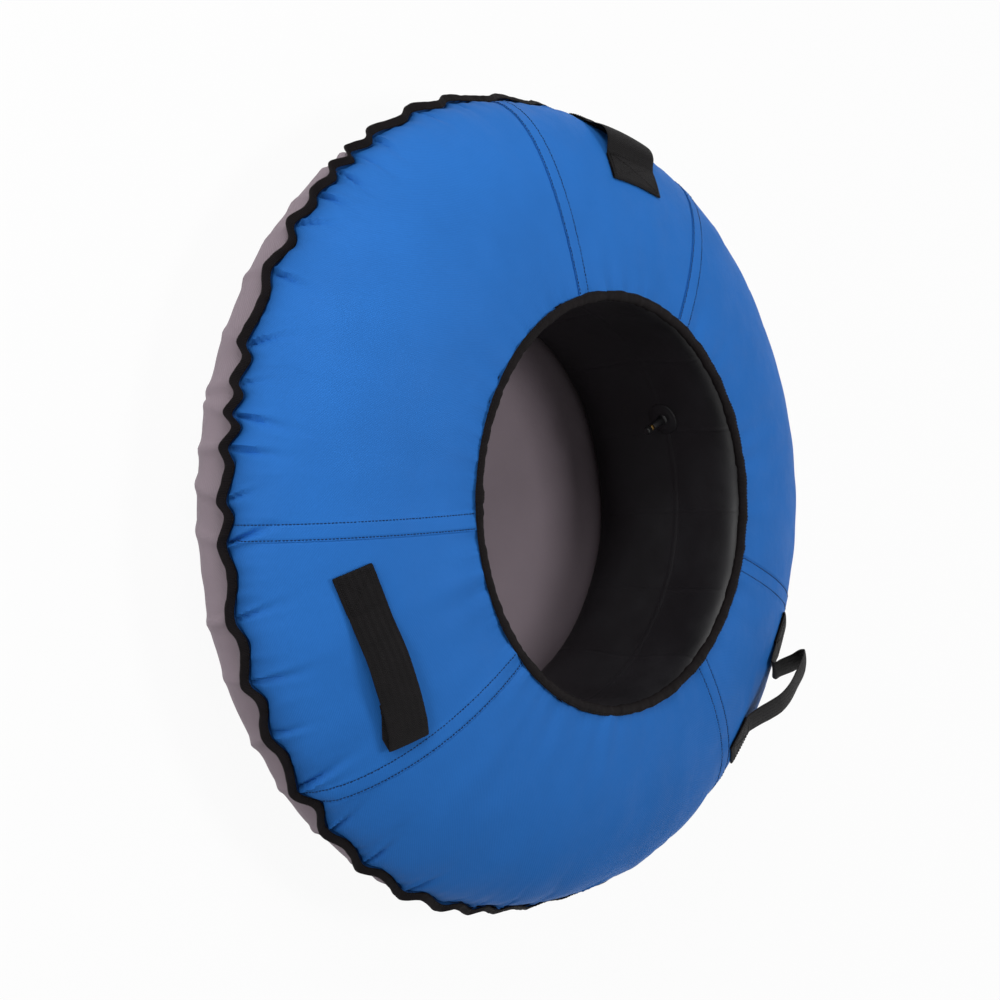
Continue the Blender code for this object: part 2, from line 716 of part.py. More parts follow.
def make_front_strap(webbing):
    """The wide strap that arches over the shoulder between its two sewn ends."""
    make_handle("front_strap", front_place(),
                (FRONT_LOOP, FRONT_TAB, FRONT_WIDTH, FRONT_COLUMNS),
                rising(FRONT_PATH_SHARES, FRONT_LOOP, FRONT_RISE),
                ("front_tab_inner", "front_tab_outer"), webbing)


def main():
    clear_scene()
    blue = make_material("cover_fabric_blue", FABRIC_BLUE, 0.6)
    grey = make_material("base_fabric_grey", BASE_GREY, 0.6)
    tape = make_material("binding_tape_black", TAPE_BLACK, 0.75)
    webbing = make_material("webbing_black", WEBBING_BLACK, 0.8)
    rubber = make_material("tube_rubber_black", RUBBER_BLACK, 0.45)
    elastic = make_material("elastic_white", ELASTIC_WHITE, 0.7)
    brass = make_material("valve_brass", BRASS, 0.35, 1.0)
    plastic = make_material("cap_plastic_black", CAP_BLACK, 0.4)
    make_panels(blue)
    make_seam_strips(blue)
    make_base_disc(grey)
    make_rim_binding(tape)
    make_hole_binding(tape, elastic)
    make_tube(rubber)
    make_patch(rubber)
    make_valve(rubber, brass, plastic)
    make_side_handles(webbing)
    make_front_strap(webbing)


main()
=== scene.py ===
"""Looks of a snow tube: a rubber ring in a sewn cover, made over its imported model.

Metres, +Z up, the base on the floor and the front strap at -X. Every surface is a grid of
points worked out with numpy. The cover's points are read by azimuth round the tube and by
run, the distance over its section from the bound seam, up the dome or down the skirt.
"""

import math

import bmesh
import bpy
import numpy as np
from mathutils import Matrix, Vector


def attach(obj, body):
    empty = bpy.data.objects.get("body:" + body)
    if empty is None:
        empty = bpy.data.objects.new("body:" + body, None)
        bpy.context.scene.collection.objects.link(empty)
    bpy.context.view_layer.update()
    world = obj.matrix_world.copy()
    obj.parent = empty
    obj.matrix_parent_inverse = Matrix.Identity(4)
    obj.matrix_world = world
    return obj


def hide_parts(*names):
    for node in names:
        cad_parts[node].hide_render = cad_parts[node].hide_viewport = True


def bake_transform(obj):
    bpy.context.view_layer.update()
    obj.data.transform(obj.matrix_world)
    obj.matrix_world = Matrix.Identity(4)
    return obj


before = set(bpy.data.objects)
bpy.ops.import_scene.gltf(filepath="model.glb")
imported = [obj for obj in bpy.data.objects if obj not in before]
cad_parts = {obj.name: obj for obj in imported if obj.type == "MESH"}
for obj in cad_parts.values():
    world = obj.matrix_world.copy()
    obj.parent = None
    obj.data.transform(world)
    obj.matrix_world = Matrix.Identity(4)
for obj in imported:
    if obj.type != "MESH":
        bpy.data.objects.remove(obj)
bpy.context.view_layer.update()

bl_info = {
    "name": "Snow Tube Looks",
    "version": (1, 0, 0),
    "blender": (4, 5, 0),
    "location": "3D View > Sidebar > Snow Tube",
    "description": "Fine surfaces and materials of a sewn snow tube",
    "category": "Object",
}

# Camera, fitted to the outline and the hole in the photograph. Pixels of 1000 x 1000.
CAMERA_TURN = math.radians(48.37)
CAMERA_LEAN = math.radians(0.7455)
CAMERA_ROLL = math.radians(0.05509)
CAMERA_DISTANCE = 3.0
CAMERA_AIM_HEIGHT = 0.1002
FOCAL_PX = 2447.0
CENTRE_PX = (526.4, 504.1)
IMAGE_PX = 1000.0
SENSOR_MM = 36.0

# Pixels where the bound seam waves outwards
RIM_PEAKS_PX = (
    (504, 92), (450, 98), (412, 104), (370, 128), (350, 147), (333, 163), (318, 191),
    (290, 217), (263, 264), (237, 339), (234, 380), (222, 410), (221, 446), (221, 500),
    (215, 546), (221, 624), (238, 688), (261, 741), (293, 795), (325, 838), (358, 874),
    (402, 898),
)
HIDDEN_WAVE = math.radians(6.9)

# The cover's section, in the sizes of the part
OUTER_RADIUS = 0.5
DOME_CENTRE_RADIUS = 0.2
WIDEST_HEIGHT = 0.0785
DOME_HEIGHT = 0.1695
DOME_POWER = 0.9
SKIRT_WIDTH = 0.22
SEAM_HEIGHT = 0.112
HOLE_RADIUS = 0.2526
HEM_TUCK = 0.0056
SECTION_STEPS = 1500

# How the bound seam lies round the tube, at azimuths in degrees: metres further out, the
# lean of its flange in degrees, metres that the skirt below it is drawn in, and the size
# of its waves
SEAM_LIE = (
    (5.0, -0.0095, 72.0, 0.0070, 1.0), (20.0, -0.0050, 50.0, 0.0040, 1.0),
    (35.0, -0.0010, 35.0, 0.0, 1.0), (105.0, 0.0020, 35.0, 0.0, 1.0),
    (130.0, -0.0030, 35.0, 0.0020, 1.0), (148.0, -0.0080, 55.0, 0.0040, 1.0),
    (165.0, -0.0125, 72.0, 0.0080, 1.0), (176.0, -0.0080, 60.0, 0.0070, 1.0),
    (190.0, -0.0060, 40.0, 0.0070, 1.0), (203.0, 0.0015, 18.0, 0.0080, 1.1),
    (214.0, 0.0035, 12.0, 0.0090, 1.2), (235.0, 0.0, 18.0, 0.0030, 1.2),
    (262.0, -0.0030, 20.0, 0.0, 1.0), (285.0, 0.0020, 18.0, 0.0, 1.1),
    (310.0, 0.0050, 12.0, 0.0040, 1.4), (335.0, 0.0025, 12.0, 0.0090, 1.3),
    (352.0, -0.0070, 50.0, 0.0080, 1.1),
)
# Run over which the dome and the skirt come back from the seam's lie to their section
SEAM_LIE_FADE = 0.06

# Bound seam and what the pull of its thread does to the fabric beside it
FLANGE = 0.008
FLANGE_TWIST = 11.0
FLANGE_CORNER = 0.0018
SCALLOP_OUT = 0.0024
SCALLOP_DROP = 0.0036
SCALLOP_POINT = 0.06
SCALLOP_AHEAD = 0.32
SCALLOP_FADE = 0.026
SCALLOP_CHANGE = 0.6
SKIRT_DRAW_FADE = 0.02
PINCH = 0.0055
PINCH_FADE = 0.012
# Run over which the painted shade beside the bound seam fades up the dome
PAINTED_SHADE_FADE = 0.013
CREASE_DEPTH = 0.0058
CREASE_LENGTH = 0.03
CREASE_WIDTH = 0.0018
CREASE_SPREAD = 0.06
CREASE_SLANT = 0.8
BULGE = 0.0044
BULGE_WIDTH = 0.018
BULGE_FADE = 0.036
RIDGE = 0.0034
RIDGE_WIDTH = 0.0042
RIDGE_SPREAD = 0.05
RIDGE_FADE = 0.12
SEWN_FLAT = 0.004

# Unevenness, each as height, waves round the tube, the run that turns them by a radian,
# and seed. A fade is the run over which one dies away
DOME_BROAD = ((0.0022, 8, 0.11, 3), (0.0009, 29, 0.05, 9))
DOME_FINE, DOME_FINE_FADE = (0.0022, 150, 0.022, 7), 0.018
HEM_RIPPLE, HEM_RIPPLE_FADE = (0.0024, 40, 0.2, 2), 0.04
HEM_GATHER, HEM_GATHER_FADE = (0.0011, 165, 0.05, 6), 0.009
SKIRT_BROAD = ((0.0016, 19, 0.06, 12), (0.0007, 61, 0.03, 14))
SKIRT_HOLLOW, SKIRT_HOLLOW_FADE = 0.0016, 0.04
SKIRT_FREE_HEIGHT = 0.02
FLAT_RISE, FLAT_REACH = 0.0011, 0.2
FLAT_WAVE = (0.5, 17, 0.03, 15)
RIM_FOLD_WAVE = (0.0006, 140, 1.0, 3)
RIM_EDGE_WAVE = (0.0005, 90, 1.0, 13)
RIM_SWELL = (0.3, 210, 0.004, 8)
CASING_PUCKER = (0.0006, 110, 1.4, 4)
CASING_SWELL = ((0.0009, 23, 2.0, 9), (0.0007, 57, 1.5, 1))
WALL_WAVER = (0.0016, 7, 0.05, 3)

# Where the tape over the bound seam starts, and its stitches from there
RIM_LIP = -0.0019
RIM_STITCH_INSET = 0.0018

# Seams between panels: azimuth in degrees at the rim and at the hem, then the panel after it
SEAMS = (
    (39.6, 39.6, "panel_right"),
    (73.0, 73.0, "panel_side_right"),
    (150.5, 150.5, "panel_front"),
    (189.0, 194.7, "panel_side_left"),
    (274.2, 275.2, "panel_left"),
    (311.0, 315.0, "panel_rear"),
)
LAP = 0.0102
LAP_UNDER = 0.004
LAP_RISE = 0.0007
LAP_DROP = 0.0008
LAP_EDGE = 0.002
STITCH_LINE = 0.0085
STITCH_GROOVE = 0.0006
STITCH_GROOVE_HALF = 0.0012
STITCH_PULL_HALF = 0.005
STITCH_PUCKER = 0.00032
STITCH_PUCKER_RUN = 0.0016
STITCH_PUCKER_CHANGE = 0.011
STRIP_HALF_WIDTH = 0.009
STRIP_DEPTH = 0.0009
STRIP_START = 0.02
STRIP_END_GAP = 0.01

# Rings of a stitch: place along it, thickness and height, as shares of its length, of the
# thread's thickness and of that again
STITCH_RINGS = ((-0.5, 0.35, -0.7), (-0.3, 1.0, 0.0), (0.3, 1.0, 0.0), (0.5, 0.35, -0.7))

# Hole binding
CASING_WIDTH = 0.0132
CASING_DEPTH = 0.0096
CASING_WALL = 0.0008
CASING_MOUTH = math.radians(25.0)
CASING_STITCH_TURN = 0.45
CASING_JOIN = math.radians(269.0)
CASING_JOIN_HALF = math.radians(1.7)
CASING_JOIN_EDGE = 0.004
CASING_JOIN_RISE = 0.0011

# Rubber ring
TUBE_INNER_RADIUS = 0.2528
TUBE_MOULD_HEIGHT = 0.135
TUBE_INSET = 0.0052
TUBE_SEAM_INSET = 0.006
TUBE_SEAM_FADE = 0.05
TUBE_DRAW_FADE = 0.05
TUBE_CREST = 0.02
TUBE_FOOT = 0.016
WALL_PULL_SHARE = 0.95
MOULD_RIDGE = 0.0008
MOULD_RIDGE_HALF = 0.0012
WALL_LINES = 15
WALL_LINE_PHASE = math.radians(88.5)
WALL_LINE_HEIGHT = 0.0005
WALL_LINE_HALF = 0.0018

# Valve, measured along its axis from the rubber wall towards the middle of the hole
VALVE_AZIMUTH = math.radians(116.32)
PATCH_RADIUS = 0.021
PATCH_SEAT = 0.0005
PATCH_THICKNESS = 0.0025
PATCH_SLOPE_SHARE = 0.45
PATCH_LIP, PATCH_LIP_EDGE = 0.0007, 0.0012
VALVE_PLAY = 0.0003
SLEEVE_FLARE, SLEEVE_FLARE_POWER = 0.0045, 2.4
SLEEVE_FOOT_RADIUS = 0.009
SLEEVE_RADIUS = 0.0055
SLEEVE_TIP_RADIUS = 0.0046
SLEEVE_END = 0.026
INSERT_BACK = 0.0036
INSERT_RADIUS = 0.003
INSERT_BORE = 0.0018
INSERT_END = 0.037
THREAD_RADIUS = 0.00385
THREAD_DEPTH = 0.00035
THREAD_PITCH = 0.000794
CAP_START = 0.0325
CAP_ROOF = 0.0386
CAP_TOP = 0.0018
CAP_RADIUS = 0.0053
CAP_MOUTH_RADIUS = 0.00415
CAP_RIBS = 24
CAP_RIB_DEPTH = 0.00025

# Webbing handles. A path's shares are along, of half the loop's length from its middle,
# and up, of the loop's height over the sewn ends
STRAP_THICKNESS = 0.0018
STRAP_WIDTH = 0.047
STRAP_SEAT = 0.0005
STRAP_GAP = 0.0003
FOLD_RADIUS = (STRAP_THICKNESS + STRAP_GAP) / 2
TAB_LOWER = STRAP_SEAT + STRAP_THICKNESS / 2
TAB_UPPER = TAB_LOWER + 2 * FOLD_RADIUS
TAB_LENGTH = 0.047
HANDLE_RUN = 0.13748
LEFT_LINE_RADIUS = 0.397
RIGHT_LINE_RADIUS = 0.4175
LOOP_LENGTH = 0.114
LEFT_AZIMUTH = math.radians(295.4)
LEFT_LOOP_HEIGHT = 0.0087
LEFT_PATH_SHARES = ((-0.74, 0.08), (-0.38, 0.43), (0.18, 0.92), (0.74, 1.0), (1.14, 0.8))
LEFT_TURN_SHARE = 0.86
LEFT_LOOP_SKEW = (0.0, 0.0, 0.0, 0.0, 0.0, 0.0, 0.0, 0.0, 0.002)
LEFT_SLACK_SKEW = (0.002, 0.0058, 0.003, 0.0, 0.0)
RIGHT_AZIMUTH = math.radians(55.7)
RIGHT_LOOP_HEIGHT = 0.0395
RIGHT_UP_SHARES = ((-0.94, 0.02), (-0.85, 0.09), (-0.65, 0.28), (-0.46, 0.5),
                   (-0.21, 0.75), (0.0, 0.86), (0.45, 0.95), (0.88, 1.0), (0.97, 0.98))
RIGHT_DOWN_SHARES = ((0.97, 0.98), (0.96, 0.89), (0.78, 0.61), (0.58, 0.29),
                     (0.48, 0.16), (0.5, 0.07), (0.62, 0.03), (0.81, 0.01))
FRONT_AZIMUTH = math.radians(169.65)
FRONT_WIDTH = 0.09
FRONT_RUN = 0.0814
FRONT_TAB = 0.038
FRONT_LOOP = 0.067
FRONT_LOOP_HEIGHT = 0.0115
FRONT_PATH_SHARES = ((-0.8, 0.28), (-0.5, 0.82), (-0.2, 1.0), (0.1, 0.86),
                     (0.4, 0.5), (0.7, 0.15))
TAB_STITCH_START = 0.0012
BOX_STITCH_INSET = 0.0045
STRAP_SOFT_EDGE = 0.018
# Height and length of the waves in a strap's edges and in its line
STRAP_EDGE_WAVE = (0.0004, 0.017)
STRAP_LINE_WAVE = (0.0003, 0.011)

# Spacing of the grids, and the radius that turns azimuth into the fabric's UV
GRID_STEP = 0.0032
SEAM_STEP = 0.0011
SEAM_BAND = 0.022
STRIP_ROWS, STRIP_COLUMNS = 70, 9
STRAP_STEP = 0.0014
STRAP_COLUMNS = 27
PATCH_ROWS = 24
TURNED_COLUMNS = 96
RING_ROWS, WALL_ROWS, WALL_COLUMNS = 96, 44, 900
LINE_STEPS = 40
BASE_COLUMNS = 720
RING_COLUMNS = 1440
FABRIC_UV_RADIUS = 1.5 * HOLE_RADIUS

# Golden ratio's fraction, and shares that make one wave of unevenness out of five
GOLDEN = 0.6180339887
WAVE_PACES = (0.62, 0.81, 1.0, 1.23, 1.47)
WAVE_SLANTS = (1.0, -0.6, 0.3, -1.2, 0.8)

# What most values of a finish's sources lie between. pinch is the painted shade beside the bound
# seam, from 0 to 1
NOISE_SPAN = (0.3, 0.7)
SOURCE_SPANS = {"ribs": (-1.0, 1.0), "pinch": (0.0, 1.0)}

# Stage: half the floor's side, its gap under the tube and its share of plain white, the
# sky's strength, and lights by name, place, aim, side in metres and power in watts
FLOOR_HALF = 9.0
FLOOR_GAP = 0.0006
FLOOR_WHITE = 0.94
SKY_STRENGTH = 0.2
LIGHTS = (
    ("front", (-0.35, 1.65, 5.8), (0.0, 0.0, 0.1), 1.7, 118.0),
    ("key", (-2.6, -1.7, 1.9), (0.0, 0.0, 0.1), 1.6, 44.0),
    ("low", (1.3, -2.8, 0.35), (0.0, 0.0, 0.1), 1.4, 8.0),
    ("grazing", (-0.5, -3.0, 1.0), (0.0, 0.2, 0.17), 0.8, 20.0),
    ("far", (0.9, 2.6, 1.3), (0.0, 0.0, 0.1), 1.6, 4.0),
)


def linear(code):
    """Linear colour of an sRGB hex value."""
    parts = [int(code[i:i + 2], 16) / 255 for i in (1, 3, 5)]
    return tuple(c / 12.92 if c < 0.04045 else ((c + 0.055) / 1.055) ** 2.4 for c in parts)


def length(name, default, description):
    """A property for a length in metres."""
    return bpy.props.FloatProperty(name=name, description=description, default=default,
                                   min=0.00001, precision=5, unit="LENGTH")


def colour(name, code, description):
    """A property for a colour, given as an sRGB hex value and kept linear."""
    return bpy.props.FloatVectorProperty(name=name, description=description, size=3,
                                         subtype="COLOR", min=0.0, max=1.0,
                                         default=linear(code))


class SNOWTUBE_PG_sizes(bpy.types.PropertyGroup):
    """Sizes of the sewn details."""

    fabric: length("Fabric", 0.0006, "Thickness of the cover's fabric")
    tape: length("Tape", 0.0006, "Thickness of the binding tape")
    rim_tape: length("Rim tape", 0.0112, "Width of the tape folded over the bound seam")
    rim_half: length("Rim half", 0.0021, "Half the thickness of the bound seam")
    stitch_pitch: length("Stitch pitch", 0.0042, "Distance from stitch to stitch")
    stitch_length: length("Stitch length", 0.0034, "Visible length of a stitch")
    thread: length("Thread", 0.00105, "Thickness of the sewing thread")
    cover_weave: length("Cover weave", 0.0030, "Drawn spacing of the cover's threads")
    webbing_rib: length("Webbing rib", 0.0026, "Drawn spacing of the webbing's ribs")
    tape_rib: length("Tape rib", 0.0018, "Drawn spacing of the binding tape's ribs")


class SNOWTUBE_PG_colours(bpy.types.PropertyGroup):
    """Colours of the finishes."""

    cover: colour("Cover", "#2E74C8", "Blue fabric of the dome")
    base: colour("Base", "#90838B", "Grey fabric of the base and skirt")
    tape: colour("Tape", "#110D0E", "Binding tape")
    webbing: colour("Webbing", "#110F10", "Webbing of the handles")
    rubber: colour("Rubber", "#0E0D11", "Rubber ring and valve base")
    cover_thread: colour("Cover thread", "#0C1A38", "Thread of the panels' topstitching")
    tape_thread: colour("Tape thread", "#0E0C0D", "Thread on tape and webbing")
    elastic: colour("Elastic", "#C8C4BE", "Elastic cord in the hem")
    brass: colour("Brass", "#8A6C3C", "Brass of the valve")
    cap: colour("Cap", "#161617", "Plastic of the valve cap")
    floor: colour("Floor", "#F4F4F4", "Floor and background")


def polar(radius, azimuth, height):
    """Points from radius, azimuth and height."""
    radius, azimuth, height = np.broadcast_arrays(radius, azimuth, height)
    return np.stack([radius * np.cos(azimuth), radius * np.sin(azimuth), height], -1)


def smooth(share):
    """A rise from 0 to 1 that starts and ends level: 3 s squared less 2 s cubed."""
    share = np.clip(share, 0.0, 1.0)
    return share * share * (3 - 2 * share)


def bell(x, width):
    """A bump of height 1: e to the minus square of x over width."""
    return np.exp(-(x / width) ** 2)


def chance(index, seed):
    """A fixed scattered number from 0 to 1 for each whole number."""
    return np.mod(np.sin(index * 12.9898 + seed * 78.233) * 43758.5453, 1.0)


def uneven(azimuth, run, pace, reach, seed):
    """Smooth unevenness between -1 and 1.

    It is the mean of five sine waves, each with nearly pace waves round the tube and
    turned by the run over reach, and each started at its own golden share of a turn.
    """
    total = 0.0
    for k, (share, slant) in enumerate(zip(WAVE_PACES, WAVE_SLANTS)):
        start = 2 * math.pi * ((seed + k) * GOLDEN % 1.0)
        total = total + np.sin(round(pace * share) * azimuth + slant * run / reach + start)
    return total / len(WAVE_PACES)


def waves(azimuth, run, *rows):
    """The sum of rows of unevenness, each its height times uneven() with its numbers."""
    return sum(row[0] * uneven(azimuth, run, *row[1:]) for row in rows)


def camera_axes():
    """The camera's back, right and up directions: a turn, a small lean and a roll."""
    back = np.array([math.sin(CAMERA_LEAN), -math.cos(CAMERA_LEAN) * math.sin(CAMERA_TURN),
                     math.cos(CAMERA_LEAN) * math.cos(CAMERA_TURN)])
    right = np.array([0.0, math.cos(CAMERA_TURN), math.sin(CAMERA_TURN)])
    right = right - back * right.dot(back)
    right = right / np.linalg.norm(right)
    up = np.cross(back, right)
    c, s = math.cos(CAMERA_ROLL), math.sin(CAMERA_ROLL)
    return back, c * right + s * up, c * up - s * right


def to_pixels(points):
    """Pixels of the photograph that points project to."""
    back, right, up = camera_axes()
    away = points - np.array([0.0, 0.0, CAMERA_AIM_HEIGHT])
    scale = FOCAL_PX / (CAMERA_DISTANCE - away @ back)
    return np.stack([CENTRE_PX[0] + scale * (away @ right),
                     CENTRE_PX[1] - scale * (away @ up)], -1)


def section_table():
    """Arc length, radius, height and outward normal of the section, hem to base centre.

    Above the widest line radius is the dome's centre radius plus its width times
    cosine to a power, and height rises with the sine to that power. Below, a quarter
    ellipse runs out flat in the base, which goes on to the middle.
    """
    width = OUTER_RADIUS - DOME_CENTRE_RADIUS
    hem_share = (HOLE_RADIUS - HEM_TUCK - DOME_CENTRE_RADIUS) / width
    top = np.linspace(math.acos(hem_share ** (1 / DOME_POWER)), 0.0, SECTION_STEPS)
    low = np.linspace(0.0, math.pi / 2, SECTION_STEPS)[1:]
    flat = np.linspace(OUTER_RADIUS - SKIRT_WIDTH, 0.0, SECTION_STEPS)[1:]
    radius = np.concatenate([DOME_CENTRE_RADIUS + width * np.cos(top) ** DOME_POWER,
                             OUTER_RADIUS - SKIRT_WIDTH + SKIRT_WIDTH * np.cos(low), flat])
    height = np.concatenate([WIDEST_HEIGHT + DOME_HEIGHT * np.sin(top) ** DOME_POWER,
                             WIDEST_HEIGHT - WIDEST_HEIGHT * np.sin(low), 0.0 * flat])
    arc = np.concatenate([[0.0], np.cumsum(np.hypot(np.diff(radius), np.diff(height)))])
    lead_r, lead_z = np.gradient(radius, arc), np.gradient(height, arc)
    size = np.hypot(lead_r, lead_z)
    return arc, radius, height, -lead_z / size, lead_r / size


ARC, ARC_RADIUS, ARC_HEIGHT, ARC_OUT, ARC_UP = section_table()
DOME_RUN = float(np.interp(-SEAM_HEIGHT, -ARC_HEIGHT, ARC))
SEAM_RADIUS = float(np.interp(DOME_RUN, ARC, ARC_RADIUS))
BASE_RUN = float(ARC[-1]) - DOME_RUN
SKIRT_RUN = float(ARC[2 * SECTION_STEPS - 2]) - DOME_RUN


def section(run):
    """Radius, height and outward normal of the section at a run from the seam."""
    at = DOME_RUN - np.asarray(run, float)
    return tuple(np.interp(at, ARC, row) for row in (ARC_RADIUS, ARC_HEIGHT, ARC_OUT, ARC_UP))


def wave_azimuths():
    """Azimuths where the bound seam waves outwards.

    Each seen one is where the rim's point nearest to its pixel lies. The others fill
    the side that the photograph hides, nearly evenly.
    """
    turns = np.radians(np.arange(0.0, 360.0, 0.1))
    rim = to_pixels(polar(SEAM_RADIUS + FLANGE, turns, SEAM_HEIGHT))
    away = rim[None, :, :] - np.array(RIM_PEAKS_PX, float)[:, None, :]
    seen = np.sort(turns[np.argmin(np.hypot(away[..., 0], away[..., 1]), axis=1)])
    span = seen[0] + 2 * math.pi - seen[-1]
    count = int(round(span / HIDDEN_WAVE))
    steps = np.arange(1, count)
    hidden = seen[-1] + span / count * (steps + 0.5 * (chance(steps, 4) - 0.5))
    return np.concatenate([seen, hidden])


WAVES = wave_azimuths()


def seam_lie(azimuth, column):
    """One column of the seam's lie at an azimuth, straight from one row to the next."""
    rows = np.array(SEAM_LIE)
    return np.interp(np.degrees(azimuth), rows[:, 0], rows[:, column], period=360.0)


def scallop(azimuth):
    """How the bound seam waves at an azimuth.

    Returns its shift out and up, with the nearest wave's number and the angle away from
    it. The shift is a cosine of the share of the way from one outward wave to the next,
    run ahead by one less its cosine, so that it drops back fast past each outward wave
    and comes out slowly. A part of the second harmonic narrows the outward waves. The
    seam's lie sizes the waves.
    """
    turn = np.mod(azimuth - WAVES[0], 2 * math.pi) + WAVES[0]
    knots = np.append(WAVES, WAVES[0] + 2 * math.pi)
    phase = np.interp(turn, knots, np.arange(len(knots)))
    size = seam_lie(azimuth, 4) * (1 + SCALLOP_CHANGE * uneven(azimuth, 0.0, 23, 1.0, 5))
    theta = 2 * math.pi * phase
    theta = theta + SCALLOP_AHEAD * (1 - np.cos(theta))
    wave = (np.cos(theta) + SCALLOP_POINT * np.cos(2 * theta)) * size
    nearest = np.mod(np.round(phase), len(WAVES)).astype(int)
    away = np.mod(turn - WAVES[nearest] + math.pi, 2 * math.pi) - math.pi
    return SCALLOP_OUT * wave, -SCALLOP_DROP * wave, nearest, away


def flange_lean(azimuth):
    """Cosine and sine of how far the bound seam's flange leans down from level.

    It is the lie's lean, and the flange is twisted down and up again by sine waves.
    """
    twist = FLANGE_TWIST * uneven(azimuth, 0.0, 31, 1.0, 21)
    lean = np.radians(seam_lie(azimuth, 2) + twist)
    return np.cos(lean), np.sin(lean)


def cover_point(side, azimuth, run, lift, fabric=0.0006):
    """Points of the cover, run metres from the seam, up the dome or down the skirt.

    side is 1 for the dome and -1 for the skirt. The section's point is moved by the
    seam's lie, waves and pinch, which fade with the run, and then by lift along its
    outward normal. A negative run goes out into the flange, along a line that leans down.
    """
    reach = np.maximum(run, 0.0)
    past = np.minimum(run, 0.0)
    radius, height, out, up = section(side * reach)
    shift_out, shift_up, _, _ = scallop(azimuth)
    radius = radius + seam_lie(azimuth, 1) * bell(reach, SEAM_LIE_FADE)
    fade = bell(reach, SCALLOP_FADE)
    pinch = PINCH * np.where(past < 0, 1 + past / FLANGE, np.exp(-reach / PINCH_FADE))
    turn = smooth((FLANGE_CORNER - run) / (2 * FLANGE_CORNER))
    level, down = flange_lean(azimuth)
    out = out * (1 - turn) + side * down * turn
    up = up * (1 - turn) + side * level * turn
    lift = (lift + turn * fabric * 1.2) / np.hypot(out, up)
    radius = radius + shift_out * fade - pinch - past * level + lift * out
    height = height + shift_up * fade + past * down + lift * up
    return polar(radius, azimuth, height)


def under_straps(azimuth, run):
    """1 where webbing lies on the cover and 0 elsewhere, with soft edges.

    Each strap is a box in its own along and across: straight beside the hole at the
    sides, and by azimuth and run at the front.
    """
    radius = section(run)[0]

    def box(along, half_along, across, half_across):
        beside = smooth((half_along + STRAP_SOFT_EDGE - np.abs(along)) / STRAP_SOFT_EDGE)
        return beside * smooth((half_across + STRAP_SOFT_EDGE - np.abs(across)) / STRAP_SOFT_EDGE)

    front = np.mod(azimuth - FRONT_AZIMUTH + math.pi, 2 * math.pi) - math.pi
    total = box(run - FRONT_RUN, FRONT_LOOP / 2 + FRONT_TAB, front * radius, FRONT_WIDTH / 2)
    for middle, line_radius in ((LEFT_AZIMUTH, LEFT_LINE_RADIUS),
                                (RIGHT_AZIMUTH, RIGHT_LINE_RADIUS)):
        turn = azimuth - middle
        total = total + box(radius * np.sin(turn), LOOP_LENGTH / 2 + TAB_LENGTH,
                            radius * np.cos(turn) - line_radius, STRAP_WIDTH / 2)
    return np.clip(total, 0.0, 1.0)


def dome_relief(azimuth, run, radius):
    """Lift of the blue fabric: creases, bulges between them, ripples and unevenness.

    A crease starts where the seam waves outwards: a sunk bell across with a lower raised
    one beside it, times a bell along, with its own depth, length and slant. Between
    creases the fabric bulges. The pull of the hem's elastic makes ripples that fade from
    the hole.
    """
    _, _, nearest, away = scallop(azimuth)
    reach = np.maximum(run, 0.0)
    hem = np.maximum(DOME_RUN - run, 0.0)
    depth = CREASE_DEPTH * (0.5 + chance(nearest, 1))
    long = CREASE_LENGTH * (0.6 + 0.9 * chance(nearest, 2))
    across = away * radius - CREASE_SLANT * (chance(nearest, 3) - 0.5) * reach
    wide = CREASE_WIDTH + CREASE_SPREAD * reach
    beside = np.where(chance(nearest, 5) < 0.5, 1.7, -1.7) * wide
    fold_shape = 0.6 * bell(across - beside, wide) - bell(across, wide)
    crease = depth * fold_shape * bell(reach, long)
    bulge = BULGE * (1 - bell(across, BULGE_WIDTH)) * np.exp(-reach / BULGE_FADE)
    fine = waves(azimuth, run, DOME_FINE) * np.exp(-reach / DOME_FINE_FADE)
    ripple = waves(azimuth, run, HEM_RIPPLE) * np.exp(-hem / HEM_RIPPLE_FADE)
    gather = waves(azimuth, run, HEM_GATHER) * np.exp(-hem / HEM_GATHER_FADE)
    relief = crease + bulge + waves(azimuth, run, *DOME_BROAD) + fine + ripple + gather
    return relief * smooth(run / SEWN_FLAT) * (1 - under_straps(azimuth, run))


def skirt_relief(azimuth, run, radius, height):
    """Lift of the grey fabric: ridges under the outward waves, wrinkles and hollows.

    The ridges fade with the run, and where the base lies on the floor the fabric only
    rises off it a little.
    """
    _, _, nearest, away = scallop(azimuth)
    reach = np.maximum(run, 0.0)
    slant = CREASE_SLANT * (chance(nearest, 8) - 0.5)
    across = away * radius - slant * reach
    size = 0.5 + chance(nearest, 6)
    wide = RIDGE_WIDTH + RIDGE_SPREAD * reach
    ridge = RIDGE * size * bell(across, wide) * np.exp(-reach / RIDGE_FADE)
    hollow = -SKIRT_HOLLOW * (1 - bell(across, BULGE_WIDTH)) * np.exp(-reach / SKIRT_HOLLOW_FADE)
    drawn = -seam_lie(azimuth, 3) * smooth(reach / SKIRT_DRAW_FADE)
    free = smooth(height / SKIRT_FREE_HEIGHT)
    rest = -FLAT_RISE * (0.5 + waves(azimuth, run, FLAT_WAVE)) * smooth(reach / FLAT_REACH)
    loose = ridge + hollow + waves(azimuth, run, *SKIRT_BROAD) + drawn
    return (loose * free + rest * (1 - free)) * smooth(run / SEWN_FLAT)


def seam_azimuth(index, run):
    """Azimuth of a seam between panels: a straight slant from its rim to its hem azimuth."""
    turns, item = divmod(index, len(SEAMS))
    rim, hem, _ = SEAMS[item]
    share = np.clip(run / DOME_RUN, 0.0, 1.0)
    return np.radians(rim + (hem - rim) * share) + 2 * math.pi * turns


